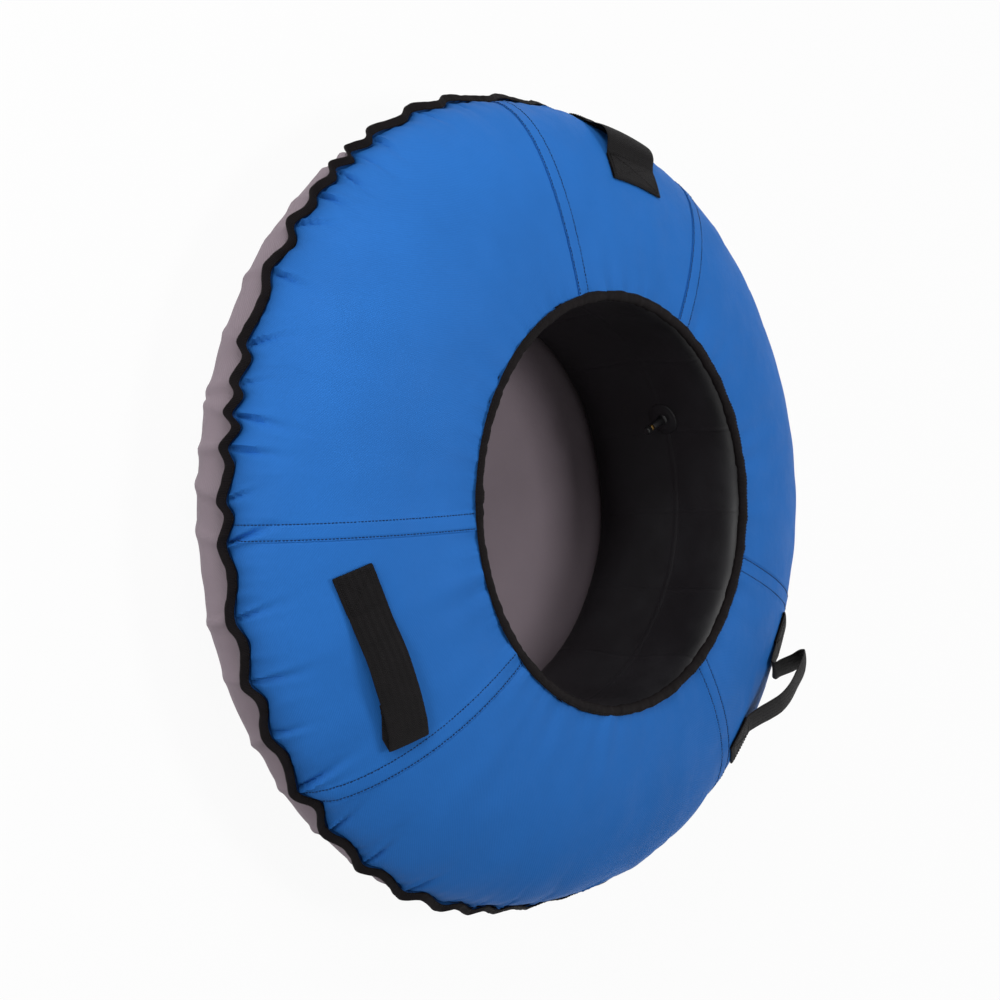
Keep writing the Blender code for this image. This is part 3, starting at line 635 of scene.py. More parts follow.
def panel_lift(index, azimuth, run, radius):
    """Lift of one panel: the dome's relief, and the lapped seams along its two edges.

    At its end the panel lies over the folded allowance, a little raised up to its edge,
    with a groove under each line of stitches. At its start it dips under its neighbour.
    Beside the stitches it puckers in a sine of the run, whose turn another sine changes.
    """
    end = (azimuth - seam_azimuth(index + 1, run)) * radius
    start = (azimuth - seam_azimuth(index, run)) * radius
    raised = LAP_RISE * smooth((end + LAP + LAP_EDGE) / LAP_EDGE)
    dipped = -LAP_DROP * (1 - smooth((start - LAP) / LAP_EDGE))
    grooves = (bell(end - STITCH_LINE, STITCH_GROOVE_HALF)
               + bell(end + STITCH_LINE, STITCH_GROOVE_HALF))
    pull = (bell(np.abs(end) - STITCH_LINE, STITCH_PULL_HALF)
            + bell(start - STITCH_LINE, STITCH_PULL_HALF))
    turn = run / STITCH_PUCKER_RUN + 3 * np.sin(run / STITCH_PUCKER_CHANGE)
    sewn = raised + dipped - STITCH_GROOVE * grooves + STITCH_PUCKER * np.sin(turn) * pull
    return dome_relief(azimuth, run, radius) + sewn * smooth(run / SEWN_FLAT)


def grid_quads(rows, columns, wrap_rows, wrap_columns, start=0):
    """Corner numbers of a grid's cells, row by row, closed round where it wraps."""
    first = np.arange(rows if wrap_rows else rows - 1)
    second = np.arange(columns if wrap_columns else columns - 1)
    a, b = np.meshgrid(first, second, indexing="ij")
    a1, b1 = (a + 1) % rows, (b + 1) % columns
    quads = [a * columns + b, a * columns + b1, a1 * columns + b1, a1 * columns + b]
    return start + np.stack(quads, -1).reshape(-1, 4)


def shell_quads(rows, columns, wrap, pole=False):
    """Cells of a sheet with an outer and an inner grid, joined along its free edges.

    wrap closes it round the tube. With a pole its last row is a single point.
    """
    count = rows * columns
    face = grid_quads(rows, columns, False, wrap)
    numbers = np.arange(count).reshape(rows, columns)
    if wrap:
        edges = [numbers[0]] if pole else [numbers[0], numbers[-1][::-1]]
    else:
        edges = [np.concatenate([numbers[0, :-1], numbers[:-1, -1], numbers[-1, :0:-1],
                                 numbers[:0:-1, 0]])]
    strips = [np.stack([np.roll(e, -1), e, e + count, np.roll(e, -1) + count], -1)
              for e in edges]
    return np.concatenate([face, face[:, ::-1] + count] + strips)


def face_out(points, quads):
    """The cells turned so that the closed surface's volume is positive."""
    corners = points[quads]
    first = np.einsum("ij,ij->i", corners[:, 0], np.cross(corners[:, 1], corners[:, 2]))
    second = np.einsum("ij,ij->i", corners[:, 0], np.cross(corners[:, 2], corners[:, 3]))
    return quads if first.sum() + second.sum() > 0 else quads[:, ::-1]


def add_piece(name, points, quads, material, uv=None, painted_seam_shade=None, sharp=180.0, weld=False):
    """Make a mesh object from points and cells, with its UV in metres and the painted shade
    beside the bound seam as its pinch attribute.
    """
    points = np.asarray(points, float).reshape(-1, 3)
    quads = face_out(points, quads)
    mesh = bpy.data.meshes.new(name)
    mesh.from_pydata(points, [], quads)
    if uv is not None:
        layer = mesh.uv_layers.new(name="UVMap")
        layer.uv.foreach_set("vector", np.asarray(uv, np.float32).reshape(-1, 2)[quads].ravel())
    if painted_seam_shade is not None:
        # The pinch attribute carries painted shade: 1 beside the bound seam, where the material
        # darkens the colour, fading to 0
        layer = mesh.attributes.new("pinch", "FLOAT", "POINT")
        layer.data.foreach_set("value", np.asarray(painted_seam_shade, np.float32).ravel())
    if weld:
        work = bmesh.new()
        work.from_mesh(mesh)
        bmesh.ops.remove_doubles(work, verts=work.verts, dist=1e-6)
        work.to_mesh(mesh)
        work.free()
    mesh.shade_smooth()
    if sharp < 180.0:
        mesh.set_sharp_from_angle(angle=math.radians(sharp))
    mesh.materials.append(material)
    item = bpy.data.objects.new(name, mesh)
    bpy.context.scene.collection.objects.link(item)
    return item


def arc_length(line):
    """Distance along a line of points from its first: the sum of its steps' lengths."""
    return np.concatenate([[0.0], np.cumsum(np.linalg.norm(np.diff(line, axis=0), axis=1))])


def unit(rows):
    """Vectors divided by their lengths."""
    return rows / np.linalg.norm(rows, axis=1)[:, None]


def cubic(start, start_pull, end, end_pull, share):
    """Points at shares of the way on the cubic between two points with their pulls."""
    square, cube = share ** 2, share ** 3
    return (start * (2 * cube - 3 * square + 1) + start_pull * (cube - 2 * square + share)
            + end * (3 * square - 2 * cube) + end_pull * (cube - square))


def even_runs(parts):
    """Runs from (end, step) parts, each filled at nearly its step from the last end."""
    runs = [np.array([parts[0][0]])]
    start = parts[0][0]
    for end, step in parts[1:]:
        count = max(1, int(round((end - start) / step)))
        runs.append(np.linspace(start, end, count + 1)[1:])
        start = end
    return np.concatenate(runs)


def feed(tree, item, inputs):
    """Set a node's inputs to values, or link them to other nodes' outputs."""
    for key, value in inputs.items():
        if isinstance(value, bpy.types.NodeSocket):
            tree.links.new(value, item.inputs[key])
        else:
            item.inputs[key].default_value = value


def node(tree, kind, output=0, inputs=None, **settings):
    """Add a node with its settings and inputs, and return one of its outputs."""
    item = tree.nodes.new("ShaderNode" + kind)
    for key, value in settings.items():
        setattr(item, key, value)
    feed(tree, item, inputs or {})
    return item.outputs[output]


def new_material(name):
    """A material with its tree and its Principled shader."""
    material = bpy.data.materials.new(name)
    material.use_nodes = True
    return material, material.node_tree, material.node_tree.nodes["Principled BSDF"]


def rib_wave(tree, pitch, lean):
    """Ribs across a fabric: the sine of its UV's first length over a pitch in metres.

    Where a lean is given, the second length is added, so that the ribs slant. A lean
    above 0 lets that length turn back each time it has gone so far: a herringbone.
    """
    uv = node(tree, "UVMap", "UV", uv_map="UVMap")
    along = node(tree, "SeparateXYZ", "X", {0: uv})
    if lean is not None:
        second = along.node.outputs["Y"]
        if lean > 0:
            second = node(tree, "Math", 0, {0: second, 1: lean}, operation="PINGPONG")
        along = node(tree, "Math", 0, {0: along, 1: second}, operation="ADD")
    turned = node(tree, "Math", 0, {0: along, 1: 2 * math.pi / pitch}, operation="MULTIPLY")
    return node(tree, "Math", 0, {0: turned}, operation="SINE")


def make_finish(name, tint, shades, rough, bumps, ribs=None, sockets=None):
    """A material out of layers that each read one source.

    A source is ribs, the fabric's own, pinch, the painted shade that the piece carries beside
    the bound seam, or a noise, given by the size of its patches in millimetres and its detail.
    A layer is a source and the two values that its span is brought to. The colour is the tint
    times every shade. The roughness is a number or a layer. Each bump has a height in metres
    and a strength, and lies on the one before it.
    """
    _, tree, shader = new_material(name)
    place = node(tree, "TexCoord", "Object")
    made = {}

    def source(key):
        """The output of a source, made the first time that a layer or a bump reads it."""
        if key not in made:
            if key == "ribs":
                made[key] = rib_wave(tree, *ribs)
            # pinch is painted shade that darkens the colour beside the bound seam
            elif key == "pinch":
                made[key] = node(tree, "Attribute", "Fac", attribute_name="pinch")
            else:
                made[key] = node(tree, "TexNoise", "Fac", {
                    "Vector": place, "Scale": 1000.0 / key[0], "Detail": key[1]})
        return made[key]

    def layer(key, low, high, span=None):
        """A source brought from its span, or from the one given, to low..high."""
        start, end = span or SOURCE_SPANS.get(key, NOISE_SPAN)
        return node(tree, "MapRange", "Result", {
            "Value": source(key), "From Min": start, "From Max": end,
            "To Min": low, "To Max": high})

    factor = layer(*shades[0])
    for shade in shades[1:]:
        factor = node(tree, "Math", 0, {0: factor, 1: layer(*shade)}, operation="MULTIPLY")
    under = {}
    for key, height, strength in bumps:
        under = {"Normal": node(tree, "Bump", "Normal", {
            "Height": source(key), "Distance": height, "Strength": strength, **under})}
    base = node(tree, "VectorMath", 0, {0: tuple(tint), "Scale": factor}, operation="SCALE")
    feed(tree, shader, {
        "Base Color": base, "Roughness": layer(*rough) if isinstance(rough, tuple) else rough,
        **under, **(sockets or {})})


def finishes(sizes, colours):
    """Each finish by its name, in the words of make_finish."""
    # Coated polyester oxford, woven from flat yarns and calendered. The yarns give a small
    # slanting grain, drawn five times as coarse as the real 0.6 mm so that it shows. The
    # coating gives soft crinkles, a low sheen and an uneven depth of colour. Beside the bound
    # seam, where the fabric is pulled in, painted shade darkens the colour.
    oxford = {"ribs": (sizes.cover_weave, 0.0), "rough": ((30.0, 3.0), 0.5, 0.62),
              "shades": (((90.0, 4.0), 0.95, 1.04), ("ribs", 0.955, 1.045),
                         ("pinch", 1.0, 0.38))}
    dull = {"Specular IOR Level": 0.06, "Sheen Roughness": 0.45}
    # Bonded polyester thread: twisted filaments with a soft gloss
    thread = {"shades": (((1.2, 2.0), 0.7, 1.4),), "rough": 0.6,
              "bumps": (((0.6, 2.0), 0.0001, 0.6),), "sockets": {"Specular IOR Level": 0.15}}

    def plain(tint, rough, metallic, grain, depth):
        """Fine grain over one colour, by its size in millimetres and its depth in metres."""
        spots = (grain, 3.0)
        return {"tint": tint, "shades": ((spots, 0.82, 1.15),), "sockets": {"Metallic": metallic},
                "rough": (spots, rough * 0.85, rough * 1.15), "bumps": ((spots, depth, 0.5),)}

    return {
        "coated_polyester_oxford_blue": {
            **oxford, "tint": colours.cover, "sockets": {**dull, "Sheen Weight": 0.0},
            "bumps": (((14.0, 4.0), 0.0009, 0.6), ("ribs", 0.00012, 0.5))},
        "coated_polyester_oxford_grey": {
            **oxford, "tint": colours.base, "sockets": {**dull, "Sheen Weight": 0.04},
            "bumps": (((14.0, 4.0), 0.0014, 0.6), ("ribs", 0.00012, 0.5))},
        # Polyester tape woven with cross ribs, drawn about twice as coarse as real ones:
        # matt, its dye worn a little on edges
        "ribbed_polyester_tape": {
            "tint": colours.tape, "ribs": (sizes.tape_rib, None), "rough": 0.7,
            "shades": (((22.0, 4.0), 0.75, 1.35), ("ribs", 0.85, 1.2)),
            "bumps": (((5.0, 3.0), 0.0006, 0.6), ("ribs", 0.00025, 0.7)),
            "sockets": {"Specular IOR Level": 0.1}},
        # Polypropylene webbing in a herringbone weave that turns each 4 mm, with a low
        # fibrous gloss. Its ribs' real 1.3 mm is drawn twice as coarse
        "woven_polypropylene_webbing": {
            "tint": colours.webbing, "ribs": (sizes.webbing_rib, 0.004), "rough": 0.62,
            "shades": (((16.0, 5.0), 0.8, 1.3), ("ribs", 0.72, 1.3)),
            "bumps": (((3.0, 2.0), 0.0003, 0.5), ("ribs", 0.0004, 0.8)),
            "sockets": {"Specular IOR Level": 0.12}},
        # Butyl rubber cured in a steel mould: satin black, dusted with talc in patches
        "moulded_butyl_rubber": {
            "tint": colours.rubber, "rough": ((60.0, 6.0), 0.42, 0.58),
            "shades": (((60.0, 6.0), 0.8, 1.5, (0.35, 0.75)),),
            "bumps": (((40.0, 2.0), 0.002, 0.35), ((1.6, 2.0), 0.0001, 0.4)),
            "sockets": {"Specular IOR Level": 0.6}},
        "bonded_polyester_thread_navy": {**thread, "tint": colours.cover_thread},
        "bonded_polyester_thread_black": {**thread, "tint": colours.tape_thread},
        # Braided yarn over rubber: matt, with the braid's small knobs
        "braided_rubber_elastic": plain(colours.elastic, 0.7, 0.0, 1.5, 0.0003),
        # Brass turned on a lathe: bright, with faint tool marks
        "turned_brass": plain(colours.brass, 0.3, 1.0, 0.8, 0.00002),
        # Polyethylene moulded in a polished steel mould: smooth, with a low waxy gloss
        "moulded_polyethylene": plain(colours.cap, 0.4, 0.0, 1.0, 0.00003),
    }


def finish(name):
    """A finish by its name, made the first time that it is asked for."""
    if name not in bpy.data.materials:
        scene = bpy.context.scene
        make_finish(name, **finishes(scene.snow_tube_sizes, scene.snow_tube_colours)[name])
    return bpy.data.materials[name]


def settle(piece, body, slot_name, *nodes):
    """Let a piece ride on a body and stand for its nodes, which it hides. Its slot name is not
    used.
    """
    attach(piece, body)
    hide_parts(*nodes)


def panel_grid(index):
    """Azimuth, run and radius over one panel, from under its neighbour to its lapped edge."""
    width = float((seam_azimuth(index + 1, 0.0) - seam_azimuth(index, 0.0)) * SEAM_RADIUS)
    edge = np.arange(0.0, SEAM_BAND, SEAM_STEP)
    middle = np.linspace(SEAM_BAND, width - SEAM_BAND,
                         int((width - 2 * SEAM_BAND) / GRID_STEP) + 1)
    shares = np.concatenate([edge, middle, width - edge[::-1]]) / width
    runs = even_runs(((-FLANGE, 0.0), (0.0, 0.003), (0.034, 0.0016), (DOME_RUN - 0.03, 0.0042),
                      (DOME_RUN, 0.0021)))
    run, share = np.meshgrid(runs, shares, indexing="ij")
    radius = section(np.maximum(run, 0.0))[0]
    first = seam_azimuth(index, run) + (LAP - LAP_UNDER) / radius
    last = seam_azimuth(index + 1, run) + LAP / radius
    return first + (last - first) * share, run, radius


def make_panel(index, fabric):
    """One blue panel: a sheet with two faces from the bound seam to the hem."""
    azimuth, run, radius = panel_grid(index)
    lift = panel_lift(index, azimuth, run, radius)
    outer = cover_point(1, azimuth, run, lift)
    inner = cover_point(1, azimuth, run, lift - fabric)
    uv = np.stack([azimuth * FABRIC_UV_RADIUS, run], -1)
    # Painted shade beside the bound seam, 1 at the seam and fading up the dome
    painted_seam_shade = np.exp(-np.maximum(run, 0.0) / PAINTED_SHADE_FADE)
    name = SEAMS[index][2]
    piece = add_piece(name + "_cloth", np.stack([outer, inner]),
                      shell_quads(*azimuth.shape, False), finish("coated_polyester_oxford_blue"),
                      np.stack([uv, uv]), np.stack([painted_seam_shade, painted_seam_shade]), sharp=50.0)
    settle(piece, "cover", "cover_fabric_blue", name)


def make_seam_allowance(index, fabric):
    """The folded allowance inside one seam, a narrow sheet that follows the panels."""
    runs = np.linspace(STRIP_START, DOME_RUN - STRIP_END_GAP, STRIP_ROWS)
    shares = np.linspace(-STRIP_HALF_WIDTH, STRIP_HALF_WIDTH, STRIP_COLUMNS)
    run, across = np.meshgrid(runs, shares, indexing="ij")
    radius = section(run)[0]
    azimuth = seam_azimuth(index, run) + across / radius
    lift = dome_relief(azimuth, run, radius) - LAP_DROP - fabric - STRIP_DEPTH
    uv = np.stack([azimuth * HOLE_RADIUS, run], -1)
    faces = np.stack([cover_point(1, azimuth, run, lift),
                      cover_point(1, azimuth, run, lift - fabric)])
    piece = add_piece("seam_allowance_%d" % (index + 1), faces, shell_quads(*run.shape, False),
                      finish("coated_polyester_oxford_blue"), np.stack([uv, uv]), sharp=50.0)
    settle(piece, "cover", "cover_fabric_blue", "seam_strip_%d" % (index + 1))


def ring_azimuths(columns):
    """Azimuths of columns spaced evenly round the tube, the first at 0."""
    return np.arange(columns) * 2 * math.pi / columns


def make_base(fabric):
    """The grey base: flange, skirt and flat bottom as one sheet with two faces."""
    runs = even_runs(((-FLANGE, 0.0), (0.0, 0.004), (0.03, 0.0025), (SKIRT_RUN - 0.09, 0.0065),
                      (SKIRT_RUN + 0.06, 0.02), (BASE_RUN, 0.03)))
    run, azimuth = np.meshgrid(runs, ring_azimuths(BASE_COLUMNS), indexing="ij")
    radius, height, _, _ = section(-np.maximum(run, 0.0))
    lift = skirt_relief(azimuth, run, radius, height)
    lift[-1] = lift[-1].mean()
    outer = cover_point(-1, azimuth, run, lift)
    inner = cover_point(-1, azimuth, run, lift - fabric)
    flat = outer[..., :2] * np.where(height > 1e-6, run / np.maximum(radius, 0.1), 1.0)[..., None]
    uv = np.stack([azimuth * FABRIC_UV_RADIUS, run], -1)
    uv = np.where((height > 0.002)[..., None], uv, flat)
    # Painted shade beside the bound seam, 1 at the seam and fading down the skirt
    painted_seam_shade = np.exp(-np.maximum(run, 0.0) / PINCH_FADE)
    piece = add_piece("base_cloth", np.stack([outer, inner]),
                      shell_quads(*run.shape, True, pole=True),
                      finish("coated_polyester_oxford_grey"), np.stack([uv, uv]),
                      np.stack([painted_seam_shade, painted_seam_shade]), sharp=60.0, weld=True)
    settle(piece, "cover", "base_fabric_grey", "base_disc")


def flange_point(azimuth, out, up):
    """A point of the bound seam, out along its leaning flange and up off the middle ply."""
    shift_out, shift_up, _, _ = scallop(azimuth)
    level, down = flange_lean(azimuth)
    radius = SEAM_RADIUS + shift_out + seam_lie(azimuth, 1)
    return polar(radius + out * level + up * down, azimuth,
                 SEAM_HEIGHT + shift_up - out * down + up * level)


def make_rim_binding(sizes):
    """The tape folded over the bound seam: two flat faces and a round outer fold.

    Its outline runs along the top face, round the fold, back under, and then returns
    one tape's thickness further in. The faces swell and the edges waver a little.
    """
    half, tape = sizes.rim_half, sizes.tape
    lip = RIM_LIP
    end = lip + sizes.rim_tape - half
    arc = np.linspace(math.pi / 2, -math.pi / 2, 9)
    outline = []
    for rise, order in ((half, 1), (half - tape, -1)):
        flat = np.linspace(lip, end, 6)[:-1]
        top = np.stack([flat, np.full(5, rise)], -1)
        turn = np.stack([end + 0.8 * rise * np.cos(arc), rise * np.sin(arc)], -1)
        side = np.concatenate([top, turn, top[::-1] * (1, -1)])
        outline.append(side[::order])
    outline = np.concatenate(outline)
    azimuth = ring_azimuths(RING_COLUMNS)[None, :]
    out, up = outline[:, :1], outline[:, 1:]
    out = out + waves(azimuth, 0.0, RIM_FOLD_WAVE) * (out > 0.002)
    out = out + waves(azimuth, 0.0, RIM_EDGE_WAVE)
    up = up * (1 + waves(azimuth, out, RIM_SWELL))
    points = flange_point(azimuth, out, up)
    around = np.cumsum(np.hypot(*np.diff(outline, axis=0, prepend=outline[:1]).T))
    uv = np.stack(np.broadcast_arrays(azimuth * OUTER_RADIUS, around[:, None]), -1)
    piece = add_piece("rim_binding_tape", points, grid_quads(*points.shape[:2], True, True),
                      finish("ribbed_polyester_tape"), uv, sharp=60.0)
    settle(piece, "cover", "binding_tape_black", "rim_binding")


def casing_point(azimuth, turn, inward):
    """A point of the hole binding's oval casing, inward from its outer face.

    The casing swells and puckers in short folds, most on its side towards the hole,
    and is one tape thicker where its ends overlap.
    """
    edge_height = float(section(DOME_RUN)[1])
    middle = HOLE_RADIUS - CASING_WIDTH / 2
    facing = 0.5 - 0.5 * np.cos(turn)
    pucker = waves(azimuth, turn, CASING_PUCKER) * (0.4 + 0.6 * facing)
    inside = CASING_JOIN_HALF - np.abs(azimuth - CASING_JOIN)
    join = CASING_JOIN_RISE * smooth(inside / CASING_JOIN_EDGE) * (inward == 0.0)
    grow = pucker + waves(azimuth, turn, *CASING_SWELL) + join - inward
    return polar(middle + (CASING_WIDTH / 2 + grow) * np.cos(turn), azimuth,
                 edge_height + (CASING_DEPTH / 2 + grow) * np.sin(turn))


def make_hole_binding():
    """The tape casing sewn over the panels' inner edge, round its elastic."""
    turns = np.linspace(CASING_MOUTH, 2 * math.pi - CASING_MOUTH, 20)
    azimuth = ring_azimuths(RING_COLUMNS)[None, :]
    points = np.concatenate([casing_point(azimuth, turns[:, None], 0.0),
                             casing_point(azimuth, turns[::-1, None], CASING_WALL)])
    both = np.concatenate([turns, turns[::-1]]) * CASING_WIDTH / 2
    uv = np.stack(np.broadcast_arrays(azimuth * HOLE_RADIUS, both[:, None]), -1)
    piece = add_piece("hole_binding_tape", points, grid_quads(*points.shape[:2], True, True),
                      finish("ribbed_polyester_tape"), uv, sharp=60.0)
    settle(piece, "cover", "binding_tape_black", "hole_binding")


def resampled(line, normals, pitch):
    """Centres, directions and normals at even steps along a line of points."""
    arc = arc_length(line)
    at = np.arange(pitch / 2, arc[-1], pitch)
    lead = np.gradient(line, arc, axis=0)
    return [np.stack([np.interp(at, arc, row[:, k]) for k in range(3)], -1)
            for row in (line, lead, normals)]


def make_stitches(name, lines, sizes, thread, body):
    """Lines of stitches as one piece.

    Each stitch is four square rings along its direction, thin and sunk at the ends,
    closed by one cell at each.
    """
    places = [resampled(line, normals, sizes.stitch_pitch) for line, normals in lines]
    centre, lead, up = (np.concatenate([p[k] for p in places]) for k in range(3))
    lead = unit(lead)
    aside = unit(np.cross(up, lead))
    up = np.cross(lead, aside)
    along, thick, sink = np.array(STITCH_RINGS).T
    along = along * sizes.stitch_length
    thick = thick[:, None] * sizes.thread / 2
    turns = np.radians([45.0, 135.0, 225.0, 315.0])
    side = thick * np.cos(turns) * 1.2
    rise = sink[:, None] * sizes.thread + thick * np.sin(turns)
    points = (centre[:, None, None] + lead[:, None, None] * along[:, None, None]
              + aside[:, None, None] * side[..., None] + up[:, None, None] * rise[..., None])
    one = np.concatenate([grid_quads(4, 4, False, True), [[3, 2, 1, 0], [12, 13, 14, 15]]])
    quads = (one[None] + 16 * np.arange(len(centre))[:, None, None]).reshape(-1, 4)
    piece = add_piece(name, points, quads, finish(thread), sharp=180.0)
    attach(piece, body)


def seam_lines(sizes):
    """Two lines of stitches along each seam between panels, on the panel that laps over."""
    lines = []
    run = np.linspace(0.003, DOME_RUN - 0.004, 400)
    radius = section(run)[0]
    for index in range(len(SEAMS)):
        for side in (-STITCH_LINE, STITCH_LINE):
            azimuth = seam_azimuth(index + 1, run) + side / radius
            lift = panel_lift(index, azimuth, run, radius) + sizes.thread * 0.35
            line = cover_point(1, azimuth, run, lift)
            lines.append((line, cover_point(1, azimuth, run, lift + 0.001) - line))
    return lines


def binding_lines(sizes):
    """A line of stitches near the inner edge of the rim's tape and of the hole's."""
    azimuth = np.linspace(0.0, 2 * math.pi, 2 * RING_COLUMNS)
    line = RIM_LIP + RIM_STITCH_INSET
    rise = sizes.rim_half * (1 + waves(azimuth, line, RIM_SWELL))
    rim = flange_point(azimuth, line, rise + sizes.thread * 0.2)
    rim_up = flange_point(azimuth, line, rise + 0.001) - rim
    turn = np.full(len(azimuth), CASING_MOUTH + CASING_STITCH_TURN)
    hole = casing_point(azimuth, turn, -sizes.thread * 0.2)
    hole_up = casing_point(azimuth, turn, -0.002) - hole
    return [(rim, rim_up), (hole, hole_up)]


def ring_section():
    """Section of the rubber ring and where its free wall starts.

    It follows the cover, inset, from the crest out and down to the base, and then bows
    back up to the crest through the mould line.
    """
    runs = np.linspace(DOME_RUN - TUBE_CREST, -(SKIRT_RUN + TUBE_FOOT), RING_ROWS)
    radius, height, out, up = section(runs)
    inset = TUBE_INSET + TUBE_SEAM_INSET * bell(runs, TUBE_SEAM_FADE)
    cover = np.stack([radius - inset * out, height - inset * up], -1)
    mould = np.array([TUBE_INNER_RADIUS, TUBE_MOULD_HEIGHT])
    drop = WALL_PULL_SHARE * (mould[1] - cover[-1, 1])
    rise = WALL_PULL_SHARE * (cover[0, 1] - mould[1])
    outward = unit(cover[1:2] - cover[:1])
    share = (np.arange(WALL_ROWS) / WALL_ROWS)[:, None]
    low = cubic(cover[-1], np.array([-drop, 0.0]), mould, np.array([0.0, drop]), share)
    high = cubic(mould, np.array([0.0, rise]), cover[0], outward * rise, share)
    return np.concatenate([cover[:-1], low, high]), len(cover) - 1


def wall_radius(height):
    """Radius of the ring's free wall at heights near its mould line."""
    points, start = ring_section()
    wall = points[start:]
    return np.interp(height, wall[:, 1], wall[:, 0])


def make_ring():
    """The rubber ring: its mould line stands up as a ridge, and faint lines cross the wall."""
    points, start = ring_section()
    azimuth = ring_azimuths(WALL_COLUMNS)[None, :]
    radius, height = points[:, :1], points[:, 1:]
    wall = np.arange(len(points))[:, None] >= start
    ridge = MOULD_RIDGE * bell(height - TUBE_MOULD_HEIGHT, MOULD_RIDGE_HALF)
    phase = (azimuth - WALL_LINE_PHASE) * WALL_LINES / (2 * math.pi)
    away = (phase - np.round(phase)) * 2 * math.pi / WALL_LINES * TUBE_INNER_RADIUS
    lines = WALL_LINE_HEIGHT * bell(away, WALL_LINE_HALF)
    waver = waves(azimuth, height, WALL_WAVER)
    drawn = np.maximum(seam_lie(azimuth, 3) - seam_lie(azimuth, 1), 0.0)
    drawn = drawn * bell(height - WIDEST_HEIGHT, TUBE_DRAW_FADE)
    radius = radius - np.where(wall, ridge + lines + waver, drawn)
    body = polar(radius, azimuth, height)
    piece = add_piece("rubber_ring", body, grid_quads(*body.shape[:2], True, True),
                      finish("moulded_butyl_rubber"))
    settle(piece, "cover", "tube_rubber_black", "inner_tube")


def valve_point(x, across, up):
    """A point by its distance from the rubber wall towards the middle of the hole."""
    radius = TUBE_INNER_RADIUS - x
    c, s = math.cos(VALVE_AZIMUTH), math.sin(VALVE_AZIMUTH)
    return np.stack(np.broadcast_arrays(radius * c - across * s, radius * s + across * c,
                                        TUBE_MOULD_HEIGHT + up), -1)


def turned_piece(name, profile, material, waver, sharp=35.0):
    """A body turned about the valve's axis from (distance, radius) corners.

    waver gives the change of radius for each distance, radius and turn. A profile that
    starts or ends on the axis is closed there in one point.
    """
    turns = ring_azimuths(TURNED_COLUMNS)[None, :]
    corners = np.array(profile)
    x, radius = corners[:, :1], corners[:, 1:]
    radius = radius + waver(x, radius, turns) * (radius > 0)
    points = valve_point(x, radius * np.cos(turns), radius * np.sin(turns))
    closed = profile[0][1] > 0
    return add_piece(name, points, grid_quads(*points.shape[:2], closed, True), material,
                     sharp=sharp, weld=not closed)


def steady(x, radius, turns):
    """No change of radius."""
    return 0.0 * turns


def thread_cut(x, radius, turns):
    """A screw thread: the crest sinks in a wave that climbs one pitch each turn."""
    wave = np.cos(2 * math.pi * x / THREAD_PITCH - turns)
    threaded = (radius > INSERT_RADIUS + 1e-6) & (x > SLEEVE_END + 0.003)
    return np.where(threaded, -THREAD_DEPTH * (0.5 - 0.5 * wave), 0.0)


def cap_ribs(x, radius, turns):
    """Grip ribs round the outside of the cap."""
    outside = (radius > CAP_RADIUS - 1e-6) & (x < CAP_ROOF)
    return np.where(outside, -CAP_RIB_DEPTH * (0.5 - 0.5 * np.cos(CAP_RIBS * turns)), 0.0)


def make_patch():
    """The round rubber base of the valve on the curve of the wall: a low dome with a lip."""
    turns = ring_azimuths(TURNED_COLUMNS)[None, :]
    rho = np.linspace(INSERT_RADIUS + VALVE_PLAY, PATCH_RADIUS, PATCH_ROWS)[:, None]
    rise = PATCH_THICKNESS * smooth((PATCH_RADIUS - rho) / (PATCH_RADIUS * PATCH_SLOPE_SHARE))
    lip = PATCH_LIP * smooth((PATCH_RADIUS - rho) / PATCH_LIP_EDGE)
    faces = []
    for x in (PATCH_SEAT + 0.0005 + rise * 0.8 + lip, np.full_like(rise, -0.0004)):
        height = TUBE_MOULD_HEIGHT + rho * np.sin(turns)
        reach = wall_radius(height) - x
        faces.append(polar(reach, VALVE_AZIMUTH + rho * np.cos(turns) / reach, height))
    piece = add_piece("valve_base_patch", np.stack(faces),
                      shell_quads(*faces[0].shape[:2], True), finish("moulded_butyl_rubber"),
                      sharp=50.0)
    settle(piece, "cover", "tube_rubber_black", "valve_patch")


def make_valve_stem():
    """The rubber sleeve with its flared foot, and the brass insert with its cut thread."""
    foot = PATCH_SEAT + PATCH_THICKNESS
    bore = INSERT_RADIUS + VALVE_PLAY
    flare = np.linspace(0.0, 1.0, 12)
    outside = [(foot + SLEEVE_FLARE * t, SLEEVE_RADIUS + (SLEEVE_FOOT_RADIUS - SLEEVE_RADIUS)
                * (1 - t) ** SLEEVE_FLARE_POWER) for t in flare]
    round_end = [(SLEEVE_END - 0.0006, SLEEVE_TIP_RADIUS + 0.0001),
                 (SLEEVE_END - 0.0002, SLEEVE_TIP_RADIUS - 0.0002), (SLEEVE_END, bore + 0.0005)]
    profile = [(foot, bore)] + outside + round_end + [(SLEEVE_END, bore)]
    sleeve = turned_piece("valve_rubber_sleeve", profile, finish("moulded_butyl_rubber"),
                          steady, 50.0)
    settle(sleeve, "cover", "tube_rubber_black", "valve_sleeve")
    shoulder = SLEEVE_END + VALVE_PLAY
    steps = np.arange(shoulder, INSERT_END - 0.0004, THREAD_PITCH / 8)
    outside = [(float(x), THREAD_RADIUS) for x in steps]
    profile = ([(-INSERT_BACK, INSERT_BORE), (-INSERT_BACK, INSERT_RADIUS),
                (shoulder, INSERT_RADIUS)] + outside
               + [(INSERT_END, THREAD_RADIUS - 0.0004), (INSERT_END, INSERT_BORE)])
    insert = turned_piece("valve_brass_insert", profile, finish("turned_brass"), thread_cut)
    settle(insert, "cover", "valve_brass", "valve_insert")


